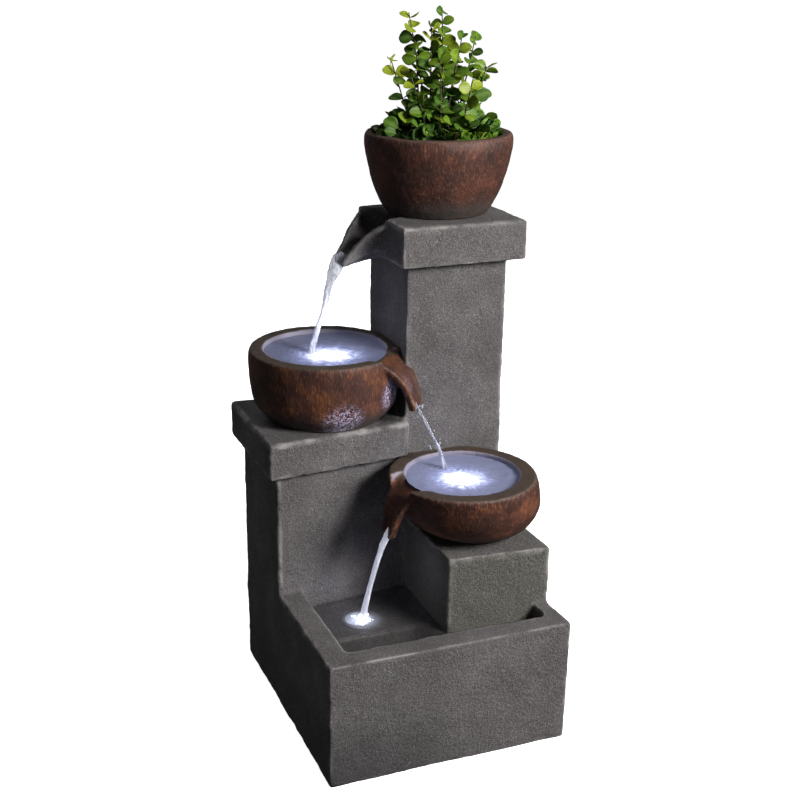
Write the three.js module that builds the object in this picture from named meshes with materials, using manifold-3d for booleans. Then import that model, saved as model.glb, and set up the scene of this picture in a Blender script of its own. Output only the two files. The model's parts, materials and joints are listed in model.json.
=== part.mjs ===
// Tiered bowl fountain: a cast-stone basin, two columns, three bowls, and the pump, hose,
// lamps and wiring inside. Millimetres, +Z up, front towards -Y, origin at the middle of the
// basin's underside.
import * as THREE from 'three';
import { mergeVertices } from 'three/addons/utils/BufferGeometryUtils.js';
import Module from 'manifold-3d';

const wasm = await Module();
wasm.setup();

// ---------- driving dimensions ----------
const GAP = 0.3;
const STONE_WALL = 10;
const WEIR = 11;

const BASE = { x0: -152.5, x1: 152.5, y0: -165, y1: 165, height: 156 };
const TROUGH = { x0: -122.5, x1: 132.8, y0: -137.5, y1: 143, floor: 18, corner: 9 };
const FRONT_SKEW = Math.tan(THREE.MathUtils.degToRad(6.5));

const LEFT_COLUMN = { x1: 20.8, frontAtLeft: 21.7, top: 314.3 };
const MID_SLAB = { x0: -164.5, frontAtLeft: 8, y1: 179, thickness: 44.9 };
const TALL_COLUMN = { x0: LEFT_COLUMN.x1 + GAP, y0: 41.6, top: 553.6 };
const TOP_SLAB = { x0: 7.5, x1: 169.5, y0: 24, y1: 177, top: 602 };
const PEDESTAL = { leftFront: [23.3, -95], rightFront: [152.5, -105.6], y1: TALL_COLUMN.y0 - GAP, top: 228 };
const SHELF = { y0: -48, top: 119, thickness: 9 };

const MID_SLAB_TOP = LEFT_COLUMN.top + MID_SLAB.thickness;
const MID_BOWL = { x: -65.8, y: 95.5, foot: MID_SLAB_TOP + GAP, rim: 446.8, outer: 94.2, inner: 75.6 };
const LOW_BOWL = { x: 62, y: -41, foot: PEDESTAL.top + GAP, rim: 314.2, outer: 90.8, inner: 69.5 };
const PLANTER = { x: 88, y: 111.2, foot: TOP_SLAB.top + GAP, rim: 699.6, outer: 90.8, inner: 78 };
const LOW_BOWL_LEAN = { x: 26, y: 17 };
const PLANTER_LEAN = { x: 0, y: 3 };
const BOWL_FLOOR = 16;
const LATHE_SEGMENTS = 28;

const PUMP = { x: -47.5, z: 49.5, front: 90, back: 135 };
const SHAFT = { radius: 1.75, bore: 1.9 };
const LAMP = { body: 13, flange: 19, flangeHeight: 4, seal: 2 };
const LAMP_SIDES = 16;
const HOSE = { inner: 6, outer: 8.5 };
const OUTLET = { x: 75, y: 116, z: 581 };
const PANEL = { x0: -124.5, x1: -8.5, z0: 166, z1: 302, depth: 6, lip: 12 };

// ---------- materials ----------
const material = (color, roughness, metalness = 0) =>
  new THREE.MeshStandardMaterial({ color, roughness, metalness, flatShading: true });
const STONE = material(0x6c6762, 0.95);
const RUST_BOWL = material(0x6e3c2d, 0.85);
const SOIL = material(0x2b2118, 1.0);
const LEAF = material(0x4f7a26, 0.6);
const BLACK_PLASTIC = material(0x1c1d1f, 0.5);
const GREY_PLASTIC = material(0x5d6064, 0.5);
const RUBBER = material(0x202020, 0.8);
const CLEAR_HOSE = material(0xbfc6c8, 0.3);
const STEEL = material(0xb4b6b8, 0.3, 1.0);
const LENS = material(0xe8f0ff, 0.1);
const MAGNET = material(0x3a3a3e, 0.4, 0.6);
const CERAMIC = material(0xe6e2da, 0.3);

// ---------- solids ----------
function solid(geometry) {
  const bare = geometry.index ? geometry.toNonIndexed() : geometry.clone();
  bare.deleteAttribute('normal');
  bare.deleteAttribute('uv');
  const merged = mergeVertices(bare, 1e-4);
  return new wasm.Manifold(new wasm.Mesh({
    numProp: 3,
    vertProperties: new Float32Array(merged.attributes.position.array),
    triVerts: new Uint32Array(merged.index.array),
  }));
}

function toGeometry(manifold) {
  const mesh = manifold.getMesh();
  const geometry = new THREE.BufferGeometry();
  geometry.setAttribute('position', new THREE.BufferAttribute(new Float32Array(mesh.vertProperties), 3));
  geometry.setIndex(new THREE.BufferAttribute(new Uint32Array(mesh.triVerts), 1));
  geometry.computeVertexNormals();
  return geometry;
}

const fountain = new THREE.Group();

function place(name, manifold, look) {
  const mesh = new THREE.Mesh(toGeometry(manifold), look);
  mesh.name = name;
  fountain.add(mesh);
}

const unite = (first, ...others) => others.reduce((sum, next) => sum.add(next), first);
const cut = (first, ...tools) => tools.reduce((rest, tool) => rest.subtract(tool), first);

function block(x0, x1, y0, y1, z0, z1) {
  const box = new THREE.BoxGeometry(x1 - x0, y1 - y0, z1 - z0);
  return solid(box.translate((x0 + x1) / 2, (y0 + y1) / 2, (z0 + z1) / 2));
}

function prism(corners, z0, z1) {
  const outline = new THREE.Shape(corners.map(([x, y]) => new THREE.Vector2(x, y)));
  const raised = new THREE.ExtrudeGeometry(outline, { depth: z1 - z0, bevelEnabled: false });
  return solid(raised.translate(0, 0, z0));
}

function roundedBlock(x0, x1, y0, y1, z0, z1, radius) {
  const outline = new THREE.Shape();
  outline.moveTo(x0 + radius, y0);
  outline.lineTo(x1 - radius, y0);
  outline.absarc(x1 - radius, y0 + radius, radius, -Math.PI / 2, 0);
  outline.absarc(x1 - radius, y1 - radius, radius, 0, Math.PI / 2);
  outline.absarc(x0 + radius, y1 - radius, radius, Math.PI / 2, Math.PI);
  outline.absarc(x0 + radius, y0 + radius, radius, Math.PI, Math.PI * 1.5);
  const settings = { depth: z1 - z0, bevelEnabled: false, curveSegments: 4 };
  const raised = new THREE.ExtrudeGeometry(outline, settings);
  return solid(raised.translate(0, 0, z0));
}

// A cylinder whose ends are two points on one axis line.
function rod(radius, start, end, sides = 20) {
  const from = new THREE.Vector3(...start);
  const to = new THREE.Vector3(...end);
  const geometry = new THREE.CylinderGeometry(radius, radius, from.distanceTo(to), sides);
  const direction = to.clone().sub(from).normalize();
  geometry.applyQuaternion(new THREE.Quaternion().setFromUnitVectors(new THREE.Vector3(0, 1, 0), direction));
  return solid(geometry.translate(...from.add(to).multiplyScalar(0.5).toArray()));
}

// A turned piece standing along +Z; the profile is [radius, height] pairs, from the bottom up.
function latheGeometry(profile, segments) {
  const points = profile.map(([radius, height]) => new THREE.Vector2(radius, height));
  return new THREE.LatheGeometry(points, segments).rotateX(Math.PI / 2);
}

const turned = (profile, x, y, z, segments) => solid(latheGeometry(profile, segments).translate(x, y, z));

// A tube along a smooth route; `sides` counts the flats of half its round section.
function tube(points, radius, sides, steps, hollow = 0) {
  const section = new THREE.Shape();
  section.absarc(0, 0, radius, 0, Math.PI * 2);
  if (hollow > 0) {
    const bore = new THREE.Path();
    bore.absarc(0, 0, hollow, 0, Math.PI * 2, true);
    section.holes.push(bore);
  }
  const route = new THREE.CatmullRomCurve3(points.map((point) => new THREE.Vector3(...point)));
  return solid(new THREE.ExtrudeGeometry(section, {
    extrudePath: route, steps, curveSegments: sides, bevelEnabled: false,
  }));
}

// ---------- castings ----------
const frontOfLeftColumn = (x) => LEFT_COLUMN.frontAtLeft + (x - BASE.x0) * FRONT_SKEW;
const frontOfMidSlab = (x) => MID_SLAB.frontAtLeft + (x - MID_SLAB.x0) * FRONT_SKEW;

function intakeSlots(x0, x1, y0, y1, count) {
  const pitch = (x1 - x0) / count;
  const slots = [];
  for (let i = 0; i < count; i += 1) {
    const centre = x0 + (i + 0.5) * pitch;
    slots.push(block(centre - 5, centre + 5, y0, y1, TROUGH.floor + 6, TROUGH.floor + 46));
  }
  return unite(...slots);
}

function basinTub() {
  const outside = block(BASE.x0, BASE.x1, BASE.y0, BASE.y1, 0, BASE.height);
  const hollow = roundedBlock(
    TROUGH.x0, TROUGH.x1, TROUGH.y0, TROUGH.y1, TROUGH.floor, BASE.height + 1, TROUGH.corner);
  const leftWeir = prism([
    [TROUGH.x0 - 1, frontOfLeftColumn(TROUGH.x0 - 1)],
    [LEFT_COLUMN.x1, frontOfLeftColumn(LEFT_COLUMN.x1)],
    [LEFT_COLUMN.x1, frontOfLeftColumn(LEFT_COLUMN.x1) + WEIR],
    [TROUGH.x0 - 1, frontOfLeftColumn(TROUGH.x0 - 1) + WEIR],
  ], TROUGH.floor - 1, BASE.height);
  const rightWeir = block(
    LEFT_COLUMN.x1 - 1, TROUGH.x1 + 1, TALL_COLUMN.y0, TALL_COLUMN.y0 + WEIR, TROUGH.floor - 1, BASE.height);
  const shell = unite(cut(outside, hollow), leftWeir, rightWeir);
  return cut(shell, intakeSlots(-100, 10, 15, 65, 5), intakeSlots(45, 115, 35, 60, 3));
}

function troughShelf() {
  const back = (x) => frontOfLeftColumn(x) - GAP;
  const x0 = TROUGH.x0 + GAP;
  const x1 = PEDESTAL.leftFront[0] - 4;
  const top = prism([[x0, SHELF.y0], [x1, SHELF.y0], [x1, back(x1)], [x0, back(x0)]],
    SHELF.top - SHELF.thickness, SHELF.top);
  const skirt = block(x0, x1, SHELF.y0, SHELF.y0 + 8, TROUGH.floor + GAP, SHELF.top - 1);
  const lampHole = rod(LAMP.body + GAP, [BASIN_LAMP.x, BASIN_LAMP.y, SHELF.top - 20],
    [BASIN_LAMP.x, BASIN_LAMP.y, SHELF.top + 5]);
  return cut(unite(top, skirt), intakeSlots(-112, 12, SHELF.y0 - 2, SHELF.y0 + 12, 6), lampHole);
}

function leftColumn() {
  const z0 = BASE.height + GAP;
  const left = BASE.x0;
  const right = LEFT_COLUMN.x1;
  const skinned = (inset) => prism([
    [left + inset, frontOfLeftColumn(left + inset) + inset],
    [right - inset, frontOfLeftColumn(right - inset) + inset],
    [right - inset, BASE.y1 - (inset ? 12 : 0)],
    [left + inset, BASE.y1 - (inset ? 12 : 0)],
  ], inset ? z0 - 1 : z0, inset ? LEFT_COLUMN.top + 1 : LEFT_COLUMN.top);
  const rebate = block(PANEL.x0, PANEL.x1, BASE.y1 - PANEL.depth, BASE.y1 + 1, PANEL.z0, PANEL.z1);
  const access = block(PANEL.x0 + PANEL.lip, PANEL.x1 - PANEL.lip, BASE.y1 - 20, BASE.y1,
    PANEL.z0 + PANEL.lip, PANEL.z1 - PANEL.lip);
  const screwHoles = PANEL_SCREWS.map(({ x, z }) => rod(2.4, [x, BASE.y1 - 11, z], [x, BASE.y1, z], 12));
  return cut(skinned(0), skinned(STONE_WALL), rebate, access, ...screwHoles, columnPassage());
}

// The opening through the two walls where the columns stand side by side.
function columnPassage() {
  return block(LEFT_COLUMN.x1 - 20, TALL_COLUMN.x0 + 20, 75, 135, BASE.height - 1, 225);
}

function midSlab() {
  const z0 = LEFT_COLUMN.top + GAP;
  const right = LEFT_COLUMN.x1;
  const outline = [
    [MID_SLAB.x0, frontOfMidSlab(MID_SLAB.x0)], [right, frontOfMidSlab(right)],
    [right, MID_SLAB.y1], [MID_SLAB.x0, MID_SLAB.y1],
  ];
  const plate = prism(outline, z0, MID_SLAB_TOP);
  const hollow = prism([
    [BASE.x0 + 12, 45], [right - 12, 60], [right - 12, BASE.y1 - 14], [BASE.x0 + 12, BASE.y1 - 14],
  ], z0 - 1, MID_SLAB_TOP - 14);
  return cut(plate, hollow, lampBore(MID_LAMP));
}

function tallColumn() {
  const z0 = BASE.height + GAP;
  const { x0, y0, top } = TALL_COLUMN;
  const outside = block(x0, BASE.x1, y0, BASE.y1, z0, top);
  const wall = STONE_WALL;
  const hollow = block(x0 + wall, BASE.x1 - wall, y0 + wall, BASE.y1 - wall, z0 - 1, top + 1);
  const lead = LOW_LEAD_HOLE;
  const leadHole = rod(7, [lead.x, y0 - 5, lead.z], [lead.x, y0 + 20, lead.z]);
  const cordHole = rod(GROMMET.neck + GAP, [GROMMET.x, BASE.y1 - 20, GROMMET.z],
    [GROMMET.x, BASE.y1 + 5, GROMMET.z]);
  return cut(outside, hollow, columnPassage(), leadHole, cordHole);
}

const channelPlan = (spread) => [
  [TOP_SLAB.x0 - 2, 81 - spread], [52 + spread, 101 - spread],
  [52 + spread, 131 + spread], [TOP_SLAB.x0 - 2, 160 + spread],
];

function topSlab() {
  const { x0, x1, y0, y1, top } = TOP_SLAB;
  const z0 = TALL_COLUMN.top + GAP;
  const channelFloor = 573;
  const outside = block(x0, x1, y0, y1, z0, top);
  const hollow = block(TALL_COLUMN.x0 + 8, BASE.x1 - 8, TALL_COLUMN.y0 + 8, BASE.y1 - 8, z0 - 1, top - 12);
  const channelWalls = prism(channelPlan(8), channelFloor - 9, top);
  const channel = prism(channelPlan(0), channelFloor, top + 1);
  const outletHole = rod(HOSE.outer + 0.5, [40, OUTLET.y, OUTLET.z], [70, OUTLET.y, OUTLET.z]);
  return cut(outside, cut(hollow, channelWalls), channel, outletHole);
}

function pedestalBlock() {
  const { leftFront, rightFront, y1, top } = PEDESTAL;
  const skirtBottom = 98;
  const right = TROUGH.x1 - GAP;
  const slope = (rightFront[1] - leftFront[1]) / (rightFront[0] - leftFront[0]);
  const front = (x) => leftFront[1] + (x - leftFront[0]) * slope;
  const plan = (x0, x1, inset, back) => [
    [x0 + inset, front(x0 + inset) + inset], [x1 - inset, front(x1 - inset) + inset],
    [x1 - inset, back], [x0 + inset, back],
  ];
  const over = prism(plan(leftFront[0], rightFront[0], 0, y1), BASE.height + GAP, top);
  const under = prism(plan(leftFront[0], right, 0, y1), skirtBottom, BASE.height + 1);
  const hollow = prism(plan(leftFront[0], right, STONE_WALL, y1 + 1), skirtBottom - 1, top - 12);
  return cut(unite(over, under), hollow, lampBore(LOW_LAMP));
}

// ---------- bowls ----------
// The body leans: its foot is set off from its rim by the lean, spread evenly over the height.
function leaned(profile, bowl, lean) {
  const geometry = latheGeometry(profile, LATHE_SEGMENTS);
  const spots = geometry.attributes.position;
  const height = bowl.rim - bowl.foot;
  for (let i = 0; i < spots.count; i += 1) {
    const down = (height - spots.getZ(i)) / height;
    spots.setXYZ(i, spots.getX(i) + lean.x * down, spots.getY(i) + lean.y * down, spots.getZ(i));
  }
  return solid(geometry.translate(bowl.x, bowl.y, bowl.foot));
}

function bowlBody(bowl, footRadius, lean, fullness) {
  const height = bowl.rim - bowl.foot;
  const bulge = bowl.outer - footRadius;
  const outside = [
    [0, 0], [footRadius - 4, 0], [footRadius, 4],
    [footRadius + bulge * fullness, height * 0.22], [footRadius + bulge * 0.92, height * 0.5],
    [bowl.outer, height * 0.82], [bowl.outer - 0.8, height * 0.97], [bowl.outer - 2.6, height], [0, height],
  ];
  const wall = bowl.outer - bowl.inner;
  const inside = [
    [0, BOWL_FLOOR], [footRadius - wall * 0.9, BOWL_FLOOR + 2],
    [footRadius + bulge * 0.66 - wall, height * 0.42], [bowl.inner - 3, height * 0.75],
    [bowl.inner, height + 1], [0, height + 1],
  ];
  return { outside: leaned(outside, bowl, lean), inside: leaned(inside, bowl, lean) };
}

// A chute swept along a curve in the bowl's radial plane. Its section is [across, up] pairs,
// scaled by a half width that narrows from root to tip, and set square to the curve.
function chute(section, route, rootWidth, tipWidth, wall, bowl, azimuth) {
  const outline = new THREE.Shape(section.map(([across, up]) => new THREE.Vector2(across, up)));
  const geometry = new THREE.ExtrudeGeometry(outline, { depth: 1, steps: 10, bevelEnabled: false });
  const spots = geometry.attributes.position;
  for (let i = 0; i < spots.count; i += 1) {
    const along = THREE.MathUtils.clamp(spots.getZ(i), 0, 1);
    const at = route.getPoint(along);
    const ahead = route.getTangent(along);
    const halfWidth = THREE.MathUtils.lerp(rootWidth, tipWidth, along) - wall;
    const up = spots.getY(i);
    spots.setXYZ(i, at.x - ahead.y * up, spots.getX(i) * halfWidth, at.y + ahead.x * up);
  }
  return solid(geometry.rotateZ(azimuth).translate(bowl.x, bowl.y, bowl.rim));
}

const CHUTE_SHELL = [[-1, 3.5], [-1, -3], [-0.6, -8], [0.6, -8], [1, -3], [1, 3.5]];
const CHUTE_CHANNEL = [[-1, 24], [-1, 5], [-0.6, 0.5], [0, 0], [0.6, 0.5], [1, 5], [1, 24]];

function spoutedBowl(bowl, footRadius, lean, fullness, spout) {
  const { outside, inside } = bowlBody(bowl, footRadius, lean, fullness);
  const route = new THREE.QuadraticBezierCurve(
    new THREE.Vector2(...spout.start), new THREE.Vector2(...spout.bend), new THREE.Vector2(...spout.tip));
  const tangent = route.getTangent(1);
  const pastTip = new THREE.QuadraticBezierCurve(
    route.v0, route.v1, route.v2.clone().addScaledVector(tangent, 8));
  const shell = chute(CHUTE_SHELL, route, spout.rootWidth, spout.tipWidth, 0, bowl, spout.azimuth);
  const channel = chute(
    CHUTE_CHANNEL, pastTip, spout.rootWidth, spout.tipWidth, spout.wall, bowl, spout.azimuth);
  return cut(unite(outside, shell), inside, channel);
}

function middleBowl() {
  const besideColumn = block(TALL_COLUMN.x0 - GAP, 60, TALL_COLUMN.y0 - GAP, 220, 340, 460);
  const body = spoutedBowl(MID_BOWL, 73.7, { x: 0, y: 0 }, 0.66, {
    start: [58, -6], bend: [110, -1], tip: [122, -65],
    rootWidth: 40, tipWidth: 13, wall: 3.5, azimuth: THREE.MathUtils.degToRad(-42),
  });
  return cut(body, besideColumn, lampBore(MID_LAMP));
}

function lowerBowl() {
  const behind = block(-60, 200, PEDESTAL.y1, 120, 200, 330);
  const body = spoutedBowl(LOW_BOWL, 50, LOW_BOWL_LEAN, 0.55, {
    start: [48, -5.5], bend: [90, -1], tip: [98, -67],
    rootWidth: 44, tipWidth: 11, wall: 4.5, azimuth: THREE.MathUtils.degToRad(182),
  });
  return cut(body, behind, lampBore(LOW_LAMP));
}

function planterBowl() {
  const height = PLANTER.rim - PLANTER.foot;
  const outside = [
    [0, 0], [61, 0], [64, 3], [71, height * 0.14], [80, height * 0.36], [87, height * 0.64],
    [PLANTER.outer, height * 0.86], [PLANTER.outer - 1, height * 0.97], [PLANTER.outer - 3, height],
    [0, height],
  ];
  const inside = [
    [0, BOWL_FLOOR], [48, BOWL_FLOOR + 2], [64, height * 0.36], [74, height * 0.7],
    [PLANTER.inner, height + 1], [0, height + 1],
  ];
  return cut(leaned(outside, PLANTER, PLANTER_LEAN), leaned(inside, PLANTER, PLANTER_LEAN));
}

function pottingSoil() {
  const height = PLANTER.rim - PLANTER.foot;
  const profile = [
    [0, BOWL_FLOOR + 1], [47, BOWL_FLOOR + 3], [63, height * 0.36 + 0.5], [73, height * 0.7],
    [75, height - 18], [50, height - 11], [0, height - 8],
  ];
  return leaned(profile, PLANTER, PLANTER_LEAN);
}

// The spout on the top slab: a trough whose floor, rims and plan all narrow towards the tip.
// `wall`, `floor` and `over` inset the section for the water channel.
function spoutSweep(wall, floor, over, length, start) {
  const root = { centre: 120.5, half: 51.5, rim: 597, under: 554.5 };
  const tip = { centre: 104.5, half: 17, rim: 553, under: 544 };
  const reach = 51;
  const mix = THREE.MathUtils.lerp;
  const trough = [[-1, 1], [-0.94, 0.35], [-0.6, 0], [0.6, 0], [0.94, 0.35], [1, 1]];
  const outline = new THREE.Shape(trough.map(([across, up]) => new THREE.Vector2(across, up)));
  const geometry = new THREE.ExtrudeGeometry(outline, { depth: 1, steps: 8, bevelEnabled: false });
  const spots = geometry.attributes.position;
  for (let i = 0; i < spots.count; i += 1) {
    const along = spots.getZ(i) * length;
    const half = mix(root.half, tip.half, along ** 0.8) - wall;
    const low = mix(root.under, tip.under, along) + floor * (1 - 0.55 * along);
    const high = mix(root.rim, tip.rim, along ** 1.5) + over;
    const centre = mix(root.centre, tip.centre, along);
    const x = TOP_SLAB.x0 - GAP + start - reach * along;
    spots.setXYZ(i, x, centre - spots.getX(i) * half, mix(low, high, spots.getY(i)));
  }
  return solid(geometry);
}

const topSpout = () => cut(spoutSweep(0, 0, 0, 1, 0), spoutSweep(9, 17, 12, 1.1, 1));

// ---------- lamps ----------
const MID_LAMP = {
  name: 'middle', x: MID_BOWL.x, y: MID_BOWL.y, seat: MID_BOWL.foot + BOWL_FLOOR + 2, below: 34,
};
const LOW_LAMP = {
  name: 'lower', x: LOW_BOWL.x + LOW_BOWL_LEAN.x * 0.75, y: LOW_BOWL.y + LOW_BOWL_LEAN.y * 0.75,
  seat: LOW_BOWL.foot + BOWL_FLOOR + 2, below: 32,
};
const BASIN_LAMP = { name: 'basin', x: -61.5, y: -14, seat: SHELF.top, below: 11 };

function lampBore({ x, y, seat, below }) {
  return rod(LAMP.body + GAP, [x, y, seat - below - 30], [x, y, seat + 30]);
}

function lampPieces(lamp) {
  const { name, x, y, seat, below } = lamp;
  const floor = seat + LAMP.seal;
  const bottom = -below - 12 - LAMP.seal;
  const housing = turned([
    [0, bottom], [LAMP.body, bottom], [LAMP.body, 0], [LAMP.flange, 0], [LAMP.flange, LAMP.flangeHeight],
    [LAMP.flange - 2, LAMP.flangeHeight], [LAMP.flange - 2, 1.5], [LAMP.body - 2, 1.5],
    [LAMP.body - 2, -6], [0, -6],
  ], x, y, floor, LAMP_SIDES);
  const leadBore = rod(2.9, [x, y, floor + bottom - 1], [x, y, floor], 10);
  place(`${name}_lamp_housing`, cut(housing, leadBore), GREY_PLASTIC);
  place(`${name}_lamp_seal`, turned([
    [LAMP.body + GAP, GAP / 2], [LAMP.flange, GAP / 2], [LAMP.flange, LAMP.seal - GAP / 2],
    [LAMP.body + GAP, LAMP.seal - GAP / 2], [LAMP.body + GAP, GAP / 2],
  ], x, y, seat + GAP / 4, LAMP_SIDES), RUBBER);
  place(`${name}_lamp_nut`, turned([
    [LAMP.body + GAP, 0], [LAMP.body + 6, 0], [LAMP.body + 6, 7], [LAMP.body + GAP, 7], [LAMP.body + GAP, 0],
  ], x, y, seat - below - 8, LAMP_SIDES), GREY_PLASTIC);
  place(`${name}_lamp_board`, turned([
    [0, -5.7], [LAMP.body - 2.4, -5.7], [LAMP.body - 2.4, -4.1], [3, -4.1], [3, -3], [0, -3],
  ], x, y, floor, 12), CERAMIC);
  place(`${name}_lamp_lens`, turned([
    [0, 1.9], [LAMP.flange - 2.4, 1.9], [LAMP.flange - 2.4, LAMP.flangeHeight],
    [LAMP.flange * 0.55, LAMP.flangeHeight + 2.5], [0, LAMP.flangeHeight + 4],
  ], x, y, floor, LAMP_SIDES), LENS);
  return { x, y, bottom: floor + bottom };
}

// ---------- pump ----------
function pumpBody() {
  const { x, z, front, back } = PUMP;
  const casing = roundedBlockAlongY(x - 25, x + 25, z - 24, z + 24, front, back, 8);
  const rotorWell = rod(12.5, [x, front - 1, z], [x, back - 8, z], 24);
  const leadBore = rod(3.4, [x + 12, back - 6, z + 15], [x + 12, back + 2, z + 15], 12);
  const cupSockets = suctionCupSpots().map(([cx, cy]) => rod(3.3, [cx, cy, z - 25], [cx, cy, z - 19], 12));
  return cut(casing, rotorWell, leadBore, ...cupSockets);
}

function roundedBlockAlongY(x0, x1, z0, z1, y0, y1, radius) {
  const lying = roundedBlock(x0, x1, -z1, -z0, y0, y1, radius);
  return lying.rotate([-90, 0, 0]);
}

function voluteCover() {
  const { x, z, front } = PUMP;
  const y1 = front - GAP;
  const y0 = y1 - 15;
  const casing = roundedBlockAlongY(x - 22, x + 22, z - 22, z + 22, y0, y1, 7);
  const boss = rod(7.2, [x + 11, (y0 + y1) / 2, z + 10], [x + 11, (y0 + y1) / 2, z + 34], 20);
  const chamber = rod(17, [x, y0 + 3, z], [x, y1 + 1, z], 28);
  const inlet = rod(6, [x, y0 - 1, z], [x, y0 + 4, z], 16);
  const outletBore = rod(5, [x + 11, (y0 + y1) / 2, z], [x + 11, (y0 + y1) / 2, z + 40], 16);
  const dialBore = rod(2.6, [x - 24, (y0 + y1) / 2, z + 14], [x - 17, (y0 + y1) / 2, z + 14], 12);
  return cut(unite(casing, boss), chamber, inlet, outletBore, dialBore);
}

function strainer() {
  const { x, z, front } = PUMP;
  const y1 = front - 15 - GAP * 2;
  const y0 = y1 - 14;
  const cap = roundedBlockAlongY(x - 22, x + 22, z - 22, z + 22, y0, y1, 7);
  const hollow = block(x - 19, x + 19, y0 + 2.5, y1 + 1, z - 19, z + 19);
  const slots = [];
  for (let i = -3; i <= 3; i += 1) {
    slots.push(block(x + i * 5.4 - 1.3, x + i * 5.4 + 1.3, y0 - 1, y0 + 4, z - 15, z + 15));
  }
  return cut(cap, hollow, ...slots);
}

function impeller() {
  const { x, z, front } = PUMP;
  const y0 = front - 10;
  const hub = rod(5, [x, y0, z], [x, front + 2, z], 20);
  const disc = rod(13, [x, front - 3, z], [x, front - 1, z], 28);
  const blades = [];
  for (let i = 0; i < 6; i += 1) {
    const blade = block(3, 13, y0 + 0.5, front - 2, -0.9, 0.9);
    blades.push(blade.rotate([0, i * 60, 0]).translate([x, 0, z]));
  }
  const bore = rod(SHAFT.bore, [x, y0 - 1, z], [x, front + 3, z], 12);
  return cut(unite(hub, disc, ...blades), bore);
}

function rotorMagnet() {
  const { x, z, front, back } = PUMP;
  const y0 = front + 2 + GAP;
  const y1 = back - 11;
  return cut(rod(11, [x, y0, z], [x, y1, z], 24), rod(SHAFT.bore, [x, y0 - 1, z], [x, y1 + 1, z], 12));
}

function suctionCupSpots() {
  const spots = [];
  for (const dx of [-16, 16]) {
    for (const y of [PUMP.front + 10, PUMP.back - 10]) {
      spots.push([PUMP.x + dx, y]);
    }
  }
  return spots;
}

function suctionCup([x, y]) {
  const under = PUMP.z - 24 - TROUGH.floor;
  return turned([
    [0, GAP], [8, GAP], [8, 1.5], [4, under - GAP - 1], [4, under - GAP], [3, under - GAP],
    [3, under + 4], [0, under + 4],
  ], x, y, TROUGH.floor, 12);
}

function outletNozzle() {
  const x = PUMP.x + 11;
  const y = PUMP.front - GAP - 7.5;
  const z = PUMP.z + 34 + GAP;
  const outside = turned([
    [0, -9], [4.7, -9], [4.7, 0], [7.2, 0], [7.2, 3], [5, 3], [5, 20], [4.6, 22], [0, 22],
  ], x, y, z, 16);
  return cut(outside, rod(3.4, [x, y, z - 12], [x, y, z + 30], 12));
}

function flowDial() {
  const y = PUMP.front - GAP - 7.5;
  const z = PUMP.z + 14;
  const x = PUMP.x - 22 - GAP;
  const face = rod(6.5, [x - 5, y, z], [x, y, z], 20);
  const stem = rod(2.2, [x - 1, y, z], [x + 4, y, z], 12);
  const pointer = block(x - 7, x - 4, y - 1.2, y + 1.2, z - 6, z + 6);
  return unite(face, stem, pointer);
}

// ---------- hose and outlet ----------
const HOSE_START = [PUMP.x + 11, PUMP.front - GAP - 7.5, PUMP.z + 34 + 4];
const HOSE_END = [OUTLET.x, OUTLET.y, OUTLET.z - 12];

function riserHose() {
  const [x, y, z] = HOSE_START;
  const [endX, endY, endZ] = HOSE_END;
  const route = [
    [x, y, z], [x, y, z + 12], [x, y, z + 26], [x + 14, y + 4, z + 62], [x + 45, y + 14, z + 92],
    [x + 84, y + 26, z + 125],
    [endX - 6, endY + 1, z + 185], [endX, endY, z + 260], [endX, endY, endZ - 100], [endX, endY, endZ - 20],
    [endX, endY, endZ],
  ];
  return tube(route, HOSE.outer, 4, 26, HOSE.inner);
}

function hoseClamp([x, y, z]) {
  const inner = HOSE.outer + 0.6;
  const outer = inner + 1.6;
  const band = turned([[inner, -4], [outer, -4], [outer, 4], [inner, 4], [inner, -4]], x, y, z, 20);
  const wormBox = block(x + inner + 0.5, x + inner + 7, y - 5, y + 5, z - 4, z + 4);
  return unite(band, wormBox);
}

function outletElbow() {
  const { x, y, z } = OUTLET;
  const bend = [
    [x, y, z - 11], [x, y, z - 6], [x - 2, y, z - 1.5], [x - 7, y, z], [x - 14, y, z], [x - 25, y, z],
  ];
  const spigot = rod(5, [x, y, z - 30], [x, y, z - 10], 12);
  const boreRoute = [[x, y, z - 32], [x, y, z - 8], [x - 2, y, z - 2.5], [x - 8, y, z], [x - 27, y, z]];
  const bore = tube(boreRoute, 4, 3, 10);
  return cut(unite(tube(bend, HOSE.outer, 4, 9), spigot), bore);
}

// ---------- access panel, grommet and wiring ----------
const PANEL_SCREWS = [
  { name: 'left', x: PANEL.x0 + PANEL.lip / 2, z: (PANEL.z0 + PANEL.z1) / 2 },
  { name: 'right', x: PANEL.x1 - PANEL.lip / 2, z: (PANEL.z0 + PANEL.z1) / 2 },
];
const GROMMET = { x: 48, z: 178, neck: 7, flange: 9 };
const LOW_LEAD_HOLE = { x: 85, z: 190 };
const JUNCTION = { x0: -141.5, x1: -118, y0: 80, y1: 130, z0: 235, z1: 275 };

function accessPanel() {
  const plate = block(PANEL.x0 + 0.5, PANEL.x1 - 0.5, BASE.y1 - PANEL.depth + 1.8, BASE.y1,
    PANEL.z0 + 0.5, PANEL.z1 - 0.5);
  const holes = PANEL_SCREWS.map(({ x, z }) => rod(2.6, [x, BASE.y1 - 10, z], [x, BASE.y1 + 2, z], 12));
  return cut(plate, ...holes);
}

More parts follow.
